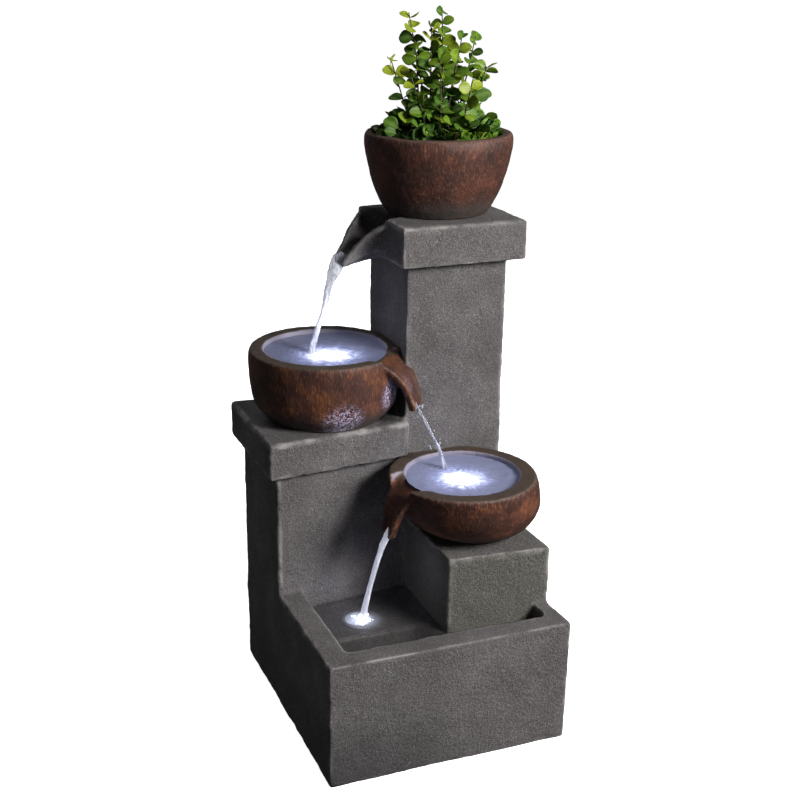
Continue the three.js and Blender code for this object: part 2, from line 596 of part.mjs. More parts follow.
function panelGasket() {
  const { x0, x1, z0, z1, depth, lip } = PANEL;
  const y0 = BASE.y1 - depth + GAP;
  const ring = block(x0 + 1, x1 - 1, y0, y0 + 1.2, z0 + 1, z1 - 1);
  const middle = block(x0 + lip, x1 - lip, y0 - 1, y0 + 3, z0 + lip, z1 - lip);
  const holes = PANEL_SCREWS.map(({ x, z }) => rod(2.6, [x, y0 - 2, z], [x, y0 + 4, z], 12));
  return cut(ring, middle, ...holes);
}

function thumbScrew({ x, z }) {
  const y = BASE.y1 + GAP;
  const shank = rod(2.1, [x, BASE.y1 - 10, z], [x, y + 1, z], 12);
  const head = rod(6, [x, y, z], [x, y + 3, z], 24);
  const wing = block(x - 5.5, x + 5.5, y + 2, y + 9, z - 1.2, z + 1.2);
  return unite(shank, head, wing);
}

function cordGrommet() {
  const { x, z, neck, flange } = GROMMET;
  const y = BASE.y1;
  const outside = unite(
    rod(flange, [x, y + GAP, z], [x, y + 3, z], 16),
    rod(neck, [x, y - 12, z], [x, y + 1, z], 16),
    rod(flange, [x, y - 13.5, z], [x, y - STONE_WALL - GAP, z], 16),
  );
  return cut(outside, rod(3.5, [x, y - 20, z], [x, y + 8, z], 12));
}

function junctionBox() {
  const { x0, x1, y0, y1, z0, z1 } = JUNCTION;
  const shell = block(x0, x1, y0, y1, z0, z1);
  const hollow = block(x0 + 2.5, x1 + 1, y0 + 2.5, y1 - 2.5, z0 + 2.5, z1 - 2.5);
  const glands = leadEnds().map(([, y, z]) => rod(3, [x0 + 12, y, z], [x0 + 12, y, z - 10], 10));
  return cut(shell, hollow, ...glands);
}

function junctionLid() {
  const { x1, y0, y1, z0, z1 } = JUNCTION;
  const lip = block(x1 - 3, x1 + 1, y0 + 2.8, y1 - 2.8, z0 + 2.8, z1 - 2.8);
  return unite(block(x1 + GAP, x1 + 3, y0, y1, z0, z1), lip);
}

// Where the four leads reach the underside of the junction box.
function leadEnds() {
  const { x0, y0, z0 } = JUNCTION;
  return [0, 1, 2, 3].map((i) => [x0 + 12, y0 + 8 + i * 11.5, z0]);
}

const LEAD = { radius: 2.4, sides: 3, steps: 26 };

function lead(route) {
  return tube(route, LEAD.radius, LEAD.sides, LEAD.steps);
}

// ---------- plant ----------
const STEM_TIPS = [
  [-2, 0, 156], [-46, -6, 148], [-62, 6, 114], [44, 2, 117], [64, 12, 70],
  [20, -16, 116], [-24, 16, 112], [-38, -28, 92], [40, 28, 102],
];

function leafPair(x, y, z, size, turn) {
  const leaf = new THREE.SphereGeometry(1, 4, 2).scale(size, size * 0.8, size * 0.28);
  const pair = [];
  for (const side of [0, Math.PI]) {
    const swung = leaf.clone().translate(size * 0.9, 0, 0).rotateY(-0.35).rotateZ(turn + side);
    pair.push(solid(swung.translate(x, y, z)));
  }
  return unite(...pair);
}

function plant() {
  const z0 = PLANTER.rim - 7.5;
  const x0 = PLANTER.x;
  const y0 = PLANTER.y;
  const pieces = [turned([[0, 0], [45, -1], [58, 4], [50, 14], [26, 23], [0, 26]], x0, y0, z0, 14)];
  for (const [dx, dy, height] of STEM_TIPS) {
    const foot = [x0 + dx * 0.6, y0 + dy * 0.6, z0 + 6];
    const tip = [x0 + dx, y0 + dy, z0 + height];
    const turn = Math.atan2(dy, dx);
    pieces.push(rod(1.6, foot, tip, 4));
    const pairs = 5;
    for (let i = 1; i <= pairs; i += 1) {
      const t = 0.28 + (0.7 * i) / pairs;
      const spot = foot.map((value, axis) => value + (tip[axis] - value) * t);
      pieces.push(leafPair(...spot, 10 - i * 0.7, turn + i * 1.3));
    }
  }
  return unite(...pieces);
}

// ---------- assembly ----------
place('basin_tub', basinTub(), STONE);
place('trough_shelf', troughShelf(), STONE);
place('left_column', leftColumn(), STONE);
place('middle_slab', midSlab(), STONE);
place('tall_column', tallColumn(), STONE);
place('top_slab', topSlab(), STONE);
place('top_spout', topSpout(), STONE);
place('pedestal_block', pedestalBlock(), STONE);
place('middle_bowl', middleBowl(), RUST_BOWL);
place('lower_bowl', lowerBowl(), RUST_BOWL);
place('planter_bowl', planterBowl(), RUST_BOWL);
place('potting_soil', pottingSoil(), SOIL);
place('plant', plant(), LEAF);

const lampEnds = [MID_LAMP, LOW_LAMP, BASIN_LAMP].map(lampPieces);

place('pump_body', pumpBody(), BLACK_PLASTIC);
place('pump_volute_cover', voluteCover(), BLACK_PLASTIC);
place('pump_strainer', strainer(), BLACK_PLASTIC);
place('pump_impeller', impeller(), GREY_PLASTIC);
place('pump_rotor_magnet', rotorMagnet(), MAGNET);
place('pump_shaft', rod(
  SHAFT.radius, [PUMP.x, PUMP.front - 11, PUMP.z], [PUMP.x, PUMP.back - 8 - GAP, PUMP.z], 12), CERAMIC);
place('pump_outlet_nozzle', outletNozzle(), BLACK_PLASTIC);
place('pump_flow_dial', flowDial(), GREY_PLASTIC);
suctionCupSpots().forEach((spot, i) => place(`suction_cup_${i + 1}`, suctionCup(spot), RUBBER));

place('riser_hose', riserHose(), CLEAR_HOSE);
place('lower_hose_clamp', hoseClamp([HOSE_START[0], HOSE_START[1], HOSE_START[2] + 9]), STEEL);
place('upper_hose_clamp', hoseClamp([HOSE_END[0], HOSE_END[1], HOSE_END[2] - 11]), STEEL);
place('outlet_elbow', outletElbow(), BLACK_PLASTIC);

place('access_panel', accessPanel(), BLACK_PLASTIC);
place('panel_gasket', panelGasket(), RUBBER);
PANEL_SCREWS.forEach((screw) => place(`panel_screw_${screw.name}`, thumbScrew(screw), STEEL));
place('cord_grommet', cordGrommet(), RUBBER);
place('junction_box', junctionBox(), BLACK_PLASTIC);
place('junction_lid', junctionLid(), BLACK_PLASTIC);

const [midEnd, lowEnd, basinEnd] = lampEnds;
const glands = leadEnds().map(([x, y, z]) => [x, y, z - GAP]);
place('middle_lamp_lead', lead([
  [midEnd.x, midEnd.y, midEnd.bottom + 4], [midEnd.x, midEnd.y, midEnd.bottom - 12], [-74, 98, 280],
  [-92, 104, 232], [-110, 108, 208], [glands[2][0], glands[2][1], 212], glands[2],
]), RUBBER);
place('lower_lamp_lead', lead([
  [lowEnd.x, lowEnd.y, lowEnd.bottom + 4], [lowEnd.x, lowEnd.y, lowEnd.bottom - 8],
  [LOW_LEAD_HOLE.x, 12, 183], [LOW_LEAD_HOLE.x, 40, LOW_LEAD_HOLE.z], [84, 66, 188], [66, 104, 180], [38, 125, 174], [4, 126, 174],
  [-46, 118, 184], [-104, 92, 196], [glands[0][0], glands[0][1], 210], glands[0],
]), RUBBER);
place('basin_lamp_lead', lead([
  [basinEnd.x, basinEnd.y, basinEnd.bottom + 4], [basinEnd.x, basinEnd.y, basinEnd.bottom - 14],
  [-78, 0, 60], [-89, 24, 46], [-89, 44, 50], [-94, 60, 90], [-112, 84, 165],
  [glands[1][0], glands[1][1], 212], glands[1],
]), RUBBER);
place('pump_lead', lead([
  [PUMP.x + 12, PUMP.back - 4, PUMP.z + 15], [PUMP.x + 12, PUMP.back + 2, PUMP.z + 15],
  [PUMP.x + 10, PUMP.back + 4, PUMP.z + 28], [-64, 132, 126], [-100, 124, 180],
  [glands[3][0], glands[3][1], 214], glands[3],
]), RUBBER);

export default fountain;
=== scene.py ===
# Tiered bowl fountain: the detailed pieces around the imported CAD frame. Metres, +Z up, front towards -Y.
import json
import math
import random

import bpy
import bmesh
import numpy as np
from mathutils import Matrix, Vector, noise


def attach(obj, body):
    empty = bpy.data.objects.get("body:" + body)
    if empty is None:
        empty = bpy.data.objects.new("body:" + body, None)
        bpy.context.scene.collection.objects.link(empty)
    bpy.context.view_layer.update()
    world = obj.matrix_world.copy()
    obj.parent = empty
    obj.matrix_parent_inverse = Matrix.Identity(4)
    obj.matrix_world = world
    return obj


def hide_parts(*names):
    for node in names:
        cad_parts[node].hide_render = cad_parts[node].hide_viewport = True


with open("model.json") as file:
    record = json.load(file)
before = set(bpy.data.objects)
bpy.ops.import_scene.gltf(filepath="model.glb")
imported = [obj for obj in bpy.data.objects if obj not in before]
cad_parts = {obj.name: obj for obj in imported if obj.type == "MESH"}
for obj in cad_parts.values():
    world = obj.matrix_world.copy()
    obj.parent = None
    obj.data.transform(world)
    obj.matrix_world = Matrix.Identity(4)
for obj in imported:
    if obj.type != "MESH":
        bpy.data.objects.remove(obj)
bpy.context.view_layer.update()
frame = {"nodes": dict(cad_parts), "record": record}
ROOT = "fountain"
MM = 0.001

# ---------- driving sizes, millimetres, from the same plan as the CAD ----------
MID_BOWL = dict(x=-65.8, y=95.5, foot=359.5, rim=446.8, outer=94.2, inner=75.6)
LOW_BOWL = dict(x=62.0, y=-41.0, foot=228.3, rim=314.2, outer=90.8, inner=69.5)
PLANTER = dict(x=88.0, y=111.2, foot=602.3, rim=699.6, outer=90.8, inner=78.0)
PLANTER_LEAN = (0, 3)
BOWL_FLOOR = 16.0
TALL_COLUMN_CORNER = (20.8, 41.3)
MID_WATER, LOW_WATER, BASIN_WATER = 441.4, 308.8, 130.0
MID_GLOW, LOW_GLOW, BASIN_GLOW = (-67.0, 74.0), (58.0, -48.0), (-61.6, -28.4)
WATER_IOR = 1.33


# ---------- camera, lights and floor ----------
def add_camera():
    yaw, pitch, roll = 0.371668, 0.349714, 0.0083247
    place = (-0.5792, -1.3817, 0.9292)
    forward = Vector((math.sin(yaw) * math.cos(pitch), math.cos(yaw) * math.cos(pitch), -math.sin(pitch)))
    right = Vector((math.cos(yaw), -math.sin(yaw), 0.0))
    up = right.cross(forward)
    rolled_right = math.cos(roll) * right + math.sin(roll) * up
    rolled_up = -math.sin(roll) * right + math.cos(roll) * up
    data = bpy.data.cameras.new("camera")
    data.lens = 59.77
    data.sensor_width = 36.0
    data.shift_x, data.shift_y = 0.0360, 0.0170
    camera = bpy.data.objects.new("camera", data)
    columns = (rolled_right, rolled_up, -forward)
    turn = Matrix([[column[row] for column in columns] for row in range(3)]).to_4x4()
    camera.matrix_world = Matrix.Translation(place) @ turn
    bpy.context.scene.collection.objects.link(camera)
    bpy.context.scene.camera = camera


def add_area(name, place, target, size, power, color, reflected=False):
    data = bpy.data.lights.new(name, "AREA")
    data.shape = "SQUARE"
    data.size = size
    data.energy = power
    data.color = color
    light = bpy.data.objects.new(name, data)
    light.location = place
    light.rotation_euler = (Vector(target) - Vector(place)).to_track_quat("-Z", "Y").to_euler()
    light.visible_glossy = reflected
    bpy.context.scene.collection.objects.link(light)


def add_pool_glow(name, place, level, power):
    """Light thrown up on the stone around a lit pool."""
    data = bpy.data.lights.new(name, "POINT")
    data.energy = power
    data.shadow_soft_size = 0.018
    data.color = (0.74, 0.77, 1.0)
    light = bpy.data.objects.new(name, data)
    light.location = (place[0] * MM, place[1] * MM, level * MM)
    light.visible_glossy = False
    bpy.context.scene.collection.objects.link(light)


def add_studio():
    add_area("key", place=(0.86, -1.38, 1.25), target=(0.0, 0.0, 0.38), size=0.6, power=61.0,
             color=(1.0, 0.985, 0.975), reflected=True)
    add_area("back_fill", place=(0.1, 2.6, 1.0), target=(0.0, 0.0, 0.35), size=1.6, power=45.0,
             color=(0.95, 0.97, 1.0))
    add_area("left_fill", place=(-2.6, 0.4, 1.0), target=(0.0, 0.0, 0.35), size=1.6, power=1.0,
             color=(0.88, 0.90, 1.0))
    add_pool_glow("middle_glow", place=(-70.0, 80.0), level=480.0, power=0.085)
    add_pool_glow("lower_glow", place=(48.0, -34.0), level=345.0, power=0.06)
    add_pool_glow("basin_glow", place=(-74.0, -4.0), level=156.0, power=0.035)
    add_pool_glow("spout_glow", place=(-14.0, -48.0), level=196.0, power=0.018)
    world = bpy.data.worlds.new("studio")
    bpy.context.scene.world = world
    world.use_nodes = True
    background = world.node_tree.nodes["Background"]
    background.inputs["Color"].default_value = (0.93, 0.95, 1.0, 1.0)
    background.inputs["Strength"].default_value = 0.085
    bpy.context.scene.view_settings.view_transform = "Standard"


# ---------- shader helpers ----------
def new_material(name):
    material = bpy.data.materials.new(name)
    material.use_nodes = True
    return material, material.node_tree, material.node_tree.nodes["Principled BSDF"]


def put(tree, kind, settings=None, **inputs):
    """A node whose inputs are given by name, or as i0, i1 and so on by number."""
    node = tree.nodes.new(kind)
    for key, value in (settings or {}).items():
        setattr(node, key, value)
    for key, value in inputs.items():
        numbered = key[0] == "i" and key[1:].isdigit()
        socket = node.inputs[int(key[1:]) if numbered else key]
        if isinstance(value, bpy.types.NodeSocket):
            tree.links.new(value, socket)
        else:
            socket.default_value = value
    return node


def mix(tree, factor, low, high):
    return put(tree, "ShaderNodeMix", {"data_type": "RGBA"}, i0=factor, i6=low, i7=high).outputs[2]


def math_node(tree, operation, first, second, clamp=False):
    settings = {"operation": operation, "use_clamp": clamp}
    return put(tree, "ShaderNodeMath", settings, i0=first, i1=second).outputs[0]


def scaled(tree, value, factor, clamp=False):
    return math_node(tree, "MULTIPLY", value, factor, clamp)


def summed(tree, first, second):
    return math_node(tree, "ADD", first, second)


def ranged(tree, value, low, high):
    """The value, from 0 to 1, spread over low to high."""
    return put(tree, "ShaderNodeMapRange", i0=value, i3=low, i4=high).outputs[0]


def ramp(tree, factor, stops):
    node = put(tree, "ShaderNodeValToRGB", i0=factor)
    elements = node.color_ramp.elements
    while len(elements) < len(stops):
        elements.new(0.5)
    for element, (position, color) in zip(elements, stops):
        element.position = position
        element.color = (*color, 1.0)
    return node.outputs[0]


def stepped(tree, value, low, high):
    """A smooth step from 0 at low to 1 at high."""
    node = put(tree, "ShaderNodeMapRange", {"interpolation_type": "SMOOTHSTEP"}, i0=value, i1=low, i2=high)
    return node.outputs[0]


def object_coords(tree, scale=(1.0, 1.0, 1.0)):
    coords = put(tree, "ShaderNodeTexCoord").outputs["Object"]
    if scale == (1.0, 1.0, 1.0):
        return coords
    return put(tree, "ShaderNodeMapping", Vector=coords, Scale=scale).outputs[0]


def noise_at(tree, coords, scale, detail=3.0, roughness=0.55, distortion=0.0):
    node = put(tree, "ShaderNodeTexNoise", Vector=coords, Scale=scale, Detail=detail, Roughness=roughness,
               Distortion=distortion)
    return node.outputs[0]


def cells_at(tree, coords, scale):
    return put(tree, "ShaderNodeTexVoronoi", Vector=coords, Scale=scale).outputs[0]


def attribute(tree, name):
    return put(tree, "ShaderNodeAttribute", {"attribute_name": name}).outputs["Fac"]


def bump(tree, shader, height, strength, distance):
    node = put(tree, "ShaderNodeBump", Height=height, Strength=strength, Distance=distance)
    tree.links.new(node.outputs[0], shader.inputs["Normal"])


# ---------- materials ----------
def stone_material():
    material, tree, shader = new_material("cast_stone_worn")
    coords = object_coords(tree)
    blotch = noise_at(tree, coords, 14.0, 7.0, 0.68)
    grain = noise_at(tree, coords, 620.0, 3.0, 0.80)
    speck = cells_at(tree, coords, 560.0)
    wear_patch = stepped(tree, noise_at(tree, coords, 34.0), 0.34, 0.66)
    lump = noise_at(tree, coords, 230.0, 2.0)
    # the pale grey is painted light for the top spout; the darkest tone is wet stone with painted shade
    mossy, painted_lit_grey, wet_and_shaded_tone = (0.112, 0.112, 0.088, 1.0), (0.300, 0.288, 0.286, 1.0), (0.030, 0.029, 0.032, 1.0)
    dark_grain, light_grain = (0.045, 0.042, 0.042, 1.0), (0.315, 0.300, 0.294, 1.0)
    worn_edge = (0.400, 0.382, 0.366, 1.0)
    base = ramp(tree, blotch, [(0.30, (0.100, 0.092, 0.091)), (0.50, (0.140, 0.130, 0.130)),
                               (0.70, (0.192, 0.180, 0.178))])
    base = mix(tree, attribute(tree, "moss"), base, mossy)
    base = mix(tree, stepped(tree, grain, 0.42, 0.58), mix(tree, 0.58, base, dark_grain), base)
    base = mix(tree, scaled(tree, stepped(tree, grain, 0.55, 0.72), 0.60), base, light_grain)
    worn = scaled(tree, attribute(tree, "wear"), wear_patch)
    base = mix(tree, scaled(tree, worn, 0.80, clamp=True), base, worn_edge)
    # painted light: the top spout's stone is lightened towards pale grey, as if lit by glow from the pools
    # below
    base = mix(tree, scaled(tree, attribute(tree, "painted_spout_light"), 0.6), base, painted_lit_grey)
    # darker where the stone sits under the basin water, plus painted shade towards the bottom and the left
    base = mix(tree, attribute(tree, "wet_and_painted_shade"), base, wet_and_shaded_tone)
    tree.links.new(base, shader.inputs["Base Color"])
    tree.links.new(ranged(tree, grain, 0.78, 0.95), shader.inputs["Roughness"])
    shader.inputs["Specular IOR Level"].default_value = 0.35
    pits = scaled(tree, stepped(tree, speck, 0.0, 0.35), 0.5)
    height = summed(tree, summed(tree, grain, pits), scaled(tree, lump, 1.1))
    bump(tree, shader, height, strength=1.0, distance=0.0019)
    return material


def rust_material(name, rim_color, orange):
    material, tree, shader = new_material(name)
    coords = object_coords(tree)
    strokes = noise_at(tree, object_coords(tree, (520.0, 520.0, 130.0)), 1.0, 3.0, 0.65)
    blotch = noise_at(tree, coords, 26.0, 5.0, 0.62, 0.4)
    grain = noise_at(tree, coords, 380.0, 2.0, 0.6)
    dark_stroke, bright_stroke = (0.022, 0.011, 0.010, 1.0), (0.270, 0.130, 0.075, 1.0)
    dark_foot, worn_edge = (0.046, 0.040, 0.036, 1.0), (0.360, 0.290, 0.230, 1.0)
    lit_wall, wet_sparkle = (0.270, 0.270, 0.350, 1.0), (0.560, 0.500, 0.700, 1.0)
    base = ramp(tree, blotch, [(0.30, (0.030, 0.013, 0.010)), (0.50, (0.078, 0.028, 0.017)), (0.70, orange)])
    base = mix(tree, stepped(tree, strokes, 0.44, 0.60), mix(tree, 0.50, base, dark_stroke), base)
    base = mix(tree, scaled(tree, stepped(tree, strokes, 0.56, 0.72), 0.34), base, bright_stroke)
    # darker, greyer towards the foot of each bowl
    base = mix(tree, attribute(tree, "lower"), base, dark_foot)
    base = mix(tree, attribute(tree, "rim"), base, (*rim_color, 1.0))
    worn = scaled(tree, attribute(tree, "wear"), stepped(tree, strokes, 0.40, 0.62))
    base = mix(tree, scaled(tree, worn, 0.6, clamp=True), base, worn_edge)
    base = mix(tree, attribute(tree, "lit"), base, lit_wall)
    glint = scaled(tree, attribute(tree, "glint"), stepped(tree, grain, 0.44, 0.60))
    base = mix(tree, glint, base, wet_sparkle)
    tree.links.new(base, shader.inputs["Base Color"])
    tree.links.new(ranged(tree, strokes, 0.42, 0.75), shader.inputs["Roughness"])
    shader.inputs["Specular IOR Level"].default_value = 0.32
    height = summed(tree, strokes, scaled(tree, grain, 0.5))
    bump(tree, shader, height, strength=0.75, distance=0.0009)
    return material


def soil_material():
    material, tree, shader = new_material("potting_soil")
    coords = object_coords(tree)
    crumbs = cells_at(tree, coords, 260.0)
    color = ramp(tree, crumbs, [(0.0, (0.012, 0.008, 0.005)), (0.6, (0.040, 0.026, 0.016)),
                                (1.0, (0.080, 0.058, 0.040))])
    tree.links.new(color, shader.inputs["Base Color"])
    shader.inputs["Roughness"].default_value = 0.95
    bump(tree, shader, crumbs, strength=1.0, distance=0.002)
    return material


def leaf_material():
    material, tree, shader = new_material("leaf_green")
    coords = object_coords(tree)
    tint = attribute(tree, "tint")
    base = ramp(tree, tint, [(0.0, (0.016, 0.030, 0.006)), (0.38, (0.040, 0.115, 0.008)),
                             (0.68, (0.125, 0.225, 0.008)), (1.0, (0.290, 0.350, 0.014))])
    shade, pale_vein = (0.010, 0.028, 0.006, 1.0), (0.240, 0.320, 0.070, 1.0)
    mottle = noise_at(tree, coords, 160.0, 3.0)
    base = mix(tree, stepped(tree, mottle, 0.35, 0.70), mix(tree, 0.35, base, shade), base)
    base = mix(tree, scaled(tree, attribute(tree, "vein"), 0.30), base, pale_vein)
    tree.links.new(base, shader.inputs["Base Color"])
    shader.inputs["Roughness"].default_value = 0.48
    shader.inputs["Specular IOR Level"].default_value = 0.30
    shader.inputs["Subsurface Weight"].default_value = 0.12
    shader.inputs["Subsurface Radius"].default_value = (0.002, 0.004, 0.001)
    bump(tree, shader, summed(tree, mottle, attribute(tree, "vein")), strength=0.4, distance=0.0006)
    return material


def stem_material():
    material, tree, shader = new_material("stem_brown")
    coords = object_coords(tree, (500.0, 500.0, 60.0))
    bark = noise_at(tree, coords, 1.0, 3.0)
    tree.links.new(ramp(tree, bark, [(0.3, (0.018, 0.020, 0.008)), (0.7, (0.075, 0.070, 0.026))]),
                   shader.inputs["Base Color"])
    shader.inputs["Roughness"].default_value = 0.7
    bump(tree, shader, bark, strength=0.5, distance=0.0005)
    return material


def distance_from(tree, coords, spot, level):
    """How far each point is from (x, y) at a level, given in mm."""
    centre = (spot[0] * MM, spot[1] * MM, level * MM)
    return put(tree, "ShaderNodeVectorMath", {"operation": "DISTANCE"}, i0=coords, i1=centre).outputs["Value"]


def pool_material(name, glow, level, reach, shallow):
    """Lit water in a bowl: bluish at the edge, white over the lamp, with rippled light."""
    material, tree, shader = new_material(name)
    coords = object_coords(tree)
    away = distance_from(tree, coords, glow, level)
    ripple = noise_at(tree, coords, 70.0, 3.0, 0.6, 1.2)
    broken = summed(tree, away, scaled(tree, math_node(tree, "SUBTRACT", ripple, 0.5), 0.035))
    near = stepped(tree, broken, reach, reach * 0.15)
    core = stepped(tree, broken, reach * 0.66, 0.008)
    color = mix(tree, near, (*shallow, 1.0), (0.190, 0.215, 0.380, 1.0))
    tree.links.new(color, shader.inputs["Base Color"])
    shader.inputs["Roughness"].default_value = 0.08
    shader.inputs["IOR"].default_value = WATER_IOR
    shade = mix(tree, core, (0.42, 0.47, 0.80, 1.0), (0.94, 0.97, 1.0, 1.0))
    tree.links.new(shade, shader.inputs["Emission Color"])
    streaks = stepped(tree, noise_at(tree, coords, 150.0, 2.0, 0.5, 2.0), 0.45, 0.75)
    strength = summed(tree, scaled(tree, near, 0.24), scaled(tree, core, 1.25))
    strength = summed(tree, strength, scaled(tree, scaled(tree, streaks, near), 0.14))
    tree.links.new(summed(tree, strength, 0.07), shader.inputs["Emission Strength"])
    bump(tree, shader, ripple, strength=0.25, distance=0.0015)
    return material


def basin_water_material():
    material, tree, shader = new_material("basin_water")
    coords = object_coords(tree)
    ripple = noise_at(tree, coords, 60.0, 3.0, 0.5, 0.8)
    halo = stepped(tree, distance_from(tree, coords, BASIN_GLOW, BASIN_WATER), 0.042, 0.002)
    tree.links.new(mix(tree, ripple, (0.050, 0.047, 0.046, 1.0), (0.085, 0.080, 0.078, 1.0)),
                   shader.inputs["Base Color"])
    shader.inputs["Roughness"].default_value = 0.12
    shader.inputs["IOR"].default_value = WATER_IOR
    shader.inputs["Emission Color"].default_value = (0.72, 0.78, 1.0, 1.0)
    tree.links.new(scaled(tree, math_node(tree, "POWER", halo, 3.0), 1.5), shader.inputs["Emission Strength"])
    shader.inputs["Alpha"].default_value = 0.40
    bump(tree, shader, ripple, strength=0.30, distance=0.0020)
    return material


def stream_material(name, emission, alpha=1.0):
    material, tree, shader = new_material(name)
    strands = noise_at(tree, object_coords(tree, (420.0, 420.0, 34.0)), 1.0, 3.0, 0.6, 0.6)
    color = ramp(tree, strands, [(0.32, (0.24, 0.25, 0.31)), (0.50, (0.46, 0.47, 0.54)),
                                 (0.66, (0.84, 0.85, 0.90))])
    tree.links.new(color, shader.inputs["Base Color"])
    shader.inputs["Roughness"].default_value = 0.12
    shader.inputs["IOR"].default_value = WATER_IOR
    shader.inputs["Transmission Weight"].default_value = 0.35
    shader.inputs["Alpha"].default_value = alpha
    shader.inputs["Emission Color"].default_value = (0.84, 0.87, 1.0, 1.0)
    shader.inputs["Emission Strength"].default_value = emission
    bump(tree, shader, strands, strength=0.6, distance=0.0012)
    return material


def glow_material():
    material, tree, shader = new_material("splash_glow")
    froth = noise_at(tree, object_coords(tree), 300.0, 2.0)
    tree.links.new(ramp(tree, froth, [(0.3, (0.75, 0.80, 1.0)), (0.7, (1.0, 1.0, 1.0))]),
                   shader.inputs["Emission Color"])
    shader.inputs["Emission Strength"].default_value = 1.6
    shader.inputs["Roughness"].default_value = 0.3
    shader.inputs["Base Color"].default_value = (0.9, 0.93, 1.0, 1.0)
    return material


def moulded_material(name, dark, light, roughness, scale=600.0, metallic=0.0):
    material, tree, shader = new_material(name)
    grain = noise_at(tree, object_coords(tree), scale, 2.0)
    tree.links.new(ramp(tree, grain, [(0.35, dark), (0.65, light)]), shader.inputs["Base Color"])
    tree.links.new(ranged(tree, grain, roughness - 0.08, roughness + 0.08), shader.inputs["Roughness"])
    shader.inputs["Metallic"].default_value = metallic
    bump(tree, shader, grain, strength=0.25, distance=0.0002)
    return material


def steel_material():
    material, tree, shader = new_material("steel_brushed")
    brushed = noise_at(tree, object_coords(tree, (120.0, 2600.0, 120.0)), 1.0, 2.0)
    tree.links.new(ramp(tree, brushed, [(0.3, (0.40, 0.41, 0.42)), (0.7, (0.62, 0.63, 0.64))]),
                   shader.inputs["Base Color"])
    shader.inputs["Metallic"].default_value = 1.0
    tree.links.new(ranged(tree, brushed, 0.22, 0.40), shader.inputs["Roughness"])
    bump(tree, shader, brushed, strength=0.2, distance=0.0001)
    return material


def floor_material():
    material, tree, shader = new_material("studio_floor")
    tone = noise_at(tree, object_coords(tree), 3.0, 2.0)
    tree.links.new(ramp(tree, tone, [(0.3, (0.80, 0.80, 0.80)), (0.7, (0.84, 0.84, 0.84))]),
                   shader.inputs["Base Color"])
    shader.inputs["Roughness"].default_value = 0.9
    shader.inputs["Specular IOR Level"].default_value = 0.1
    shader.inputs["Emission Color"].default_value = (1.0, 1.0, 1.0, 1.0)
    shader.inputs["Emission Strength"].default_value = 0.95
    return material


# ---------- mesh helpers ----------
def link(name, mesh, material=None):
    piece = bpy.data.objects.new(name, mesh)
    bpy.context.scene.collection.objects.link(piece)
    if material:
        mesh.materials.clear()
        mesh.materials.append(material)
    return piece


def from_lists(name, points, faces):
    mesh = bpy.data.meshes.new(name)
    mesh.from_pydata([tuple(point) for point in points], [], faces)
    mesh.validate()
    return mesh


def settle(piece):
    """Applies the piece's modifiers to its mesh."""
    graph = bpy.context.evaluated_depsgraph_get()
    made = bpy.data.meshes.new_from_object(piece.evaluated_get(graph))
    piece.modifiers.clear()
    old = piece.data
    piece.data = made
    bpy.data.meshes.remove(old)


def modify(piece, kind, **settings):
    modifier = piece.modifiers.new(kind.lower(), kind)
    for key, value in settings.items():
        setattr(modifier, key, value)
    return modifier


def combine(piece, other, operation):
    modify(piece, "BOOLEAN", operation=operation, object=other, solver="MANIFOLD")
    settle(piece)
    bpy.data.objects.remove(other)


def positions(mesh):
    spots = np.empty(len(mesh.vertices) * 3, np.float64)
    mesh.vertices.foreach_get("co", spots)
    return spots.reshape(-1, 3)


def normals(mesh):
    directions = np.empty(len(mesh.vertices) * 3, np.float64)
    mesh.vertices.foreach_get("normal", directions)
    return directions.reshape(-1, 3)


def store(mesh, name, values):
    layer = mesh.attributes.get(name) or mesh.attributes.new(name, "FLOAT", "POINT")
    layer.data.foreach_set("value", np.ascontiguousarray(values, np.float32))


def fade(values, low, high):
    t = np.clip((values - low) / (high - low), 0.0, 1.0)
    return t * t * (3.0 - 2.0 * t)


def soften(piece, passes, full):
    """Rounds the piece's edges; "wear" keeps how far each was worn back, 1 at the full depth in metres."""
    before = positions(piece.data)
    facing = normals(piece.data)
    modify(piece, "SMOOTH", factor=0.5, iterations=passes)
    settle(piece)
    inward = ((before - positions(piece.data)) * facing).sum(1)
    store(piece.data, "wear", np.clip(inward / full, 0.0, 1.0))


def roughen(piece, size, strength):
    """Lumps of a size and strength in metres, applied when the piece is next settled."""
    texture = bpy.data.textures.new(f"rough_{size}", "CLOUDS")
    texture.noise_scale = size
    texture.noise_depth = 3
    modify(piece, "DISPLACE", texture=texture, texture_coords="LOCAL", strength=strength, mid_level=0.5)


def smooth_shaded(mesh, angle=None):
    mesh.shade_smooth()
    if angle:
        mesh.set_sharp_from_angle(angle=math.radians(angle))


def spline(points, count):
    """A smooth line through the points, as count points."""
    knots = np.array(points, float)
    padded = np.vstack([2 * knots[0] - knots[1], knots, 2 * knots[-1] - knots[-2]])
    made = []
    for i in range(count):
        at = i / (count - 1) * (len(knots) - 1)
        k = min(int(at), len(knots) - 2)
        t = at - k
        a, b, c, d = padded[k], padded[k + 1], padded[k + 2], padded[k + 3]
        made.append(0.5 * (2 * b + (c - a) * t + (2 * a - 5 * b + 4 * c - d) * t * t
                           + (3 * b - a - 3 * c + d) * t ** 3))
    return np.array(made)


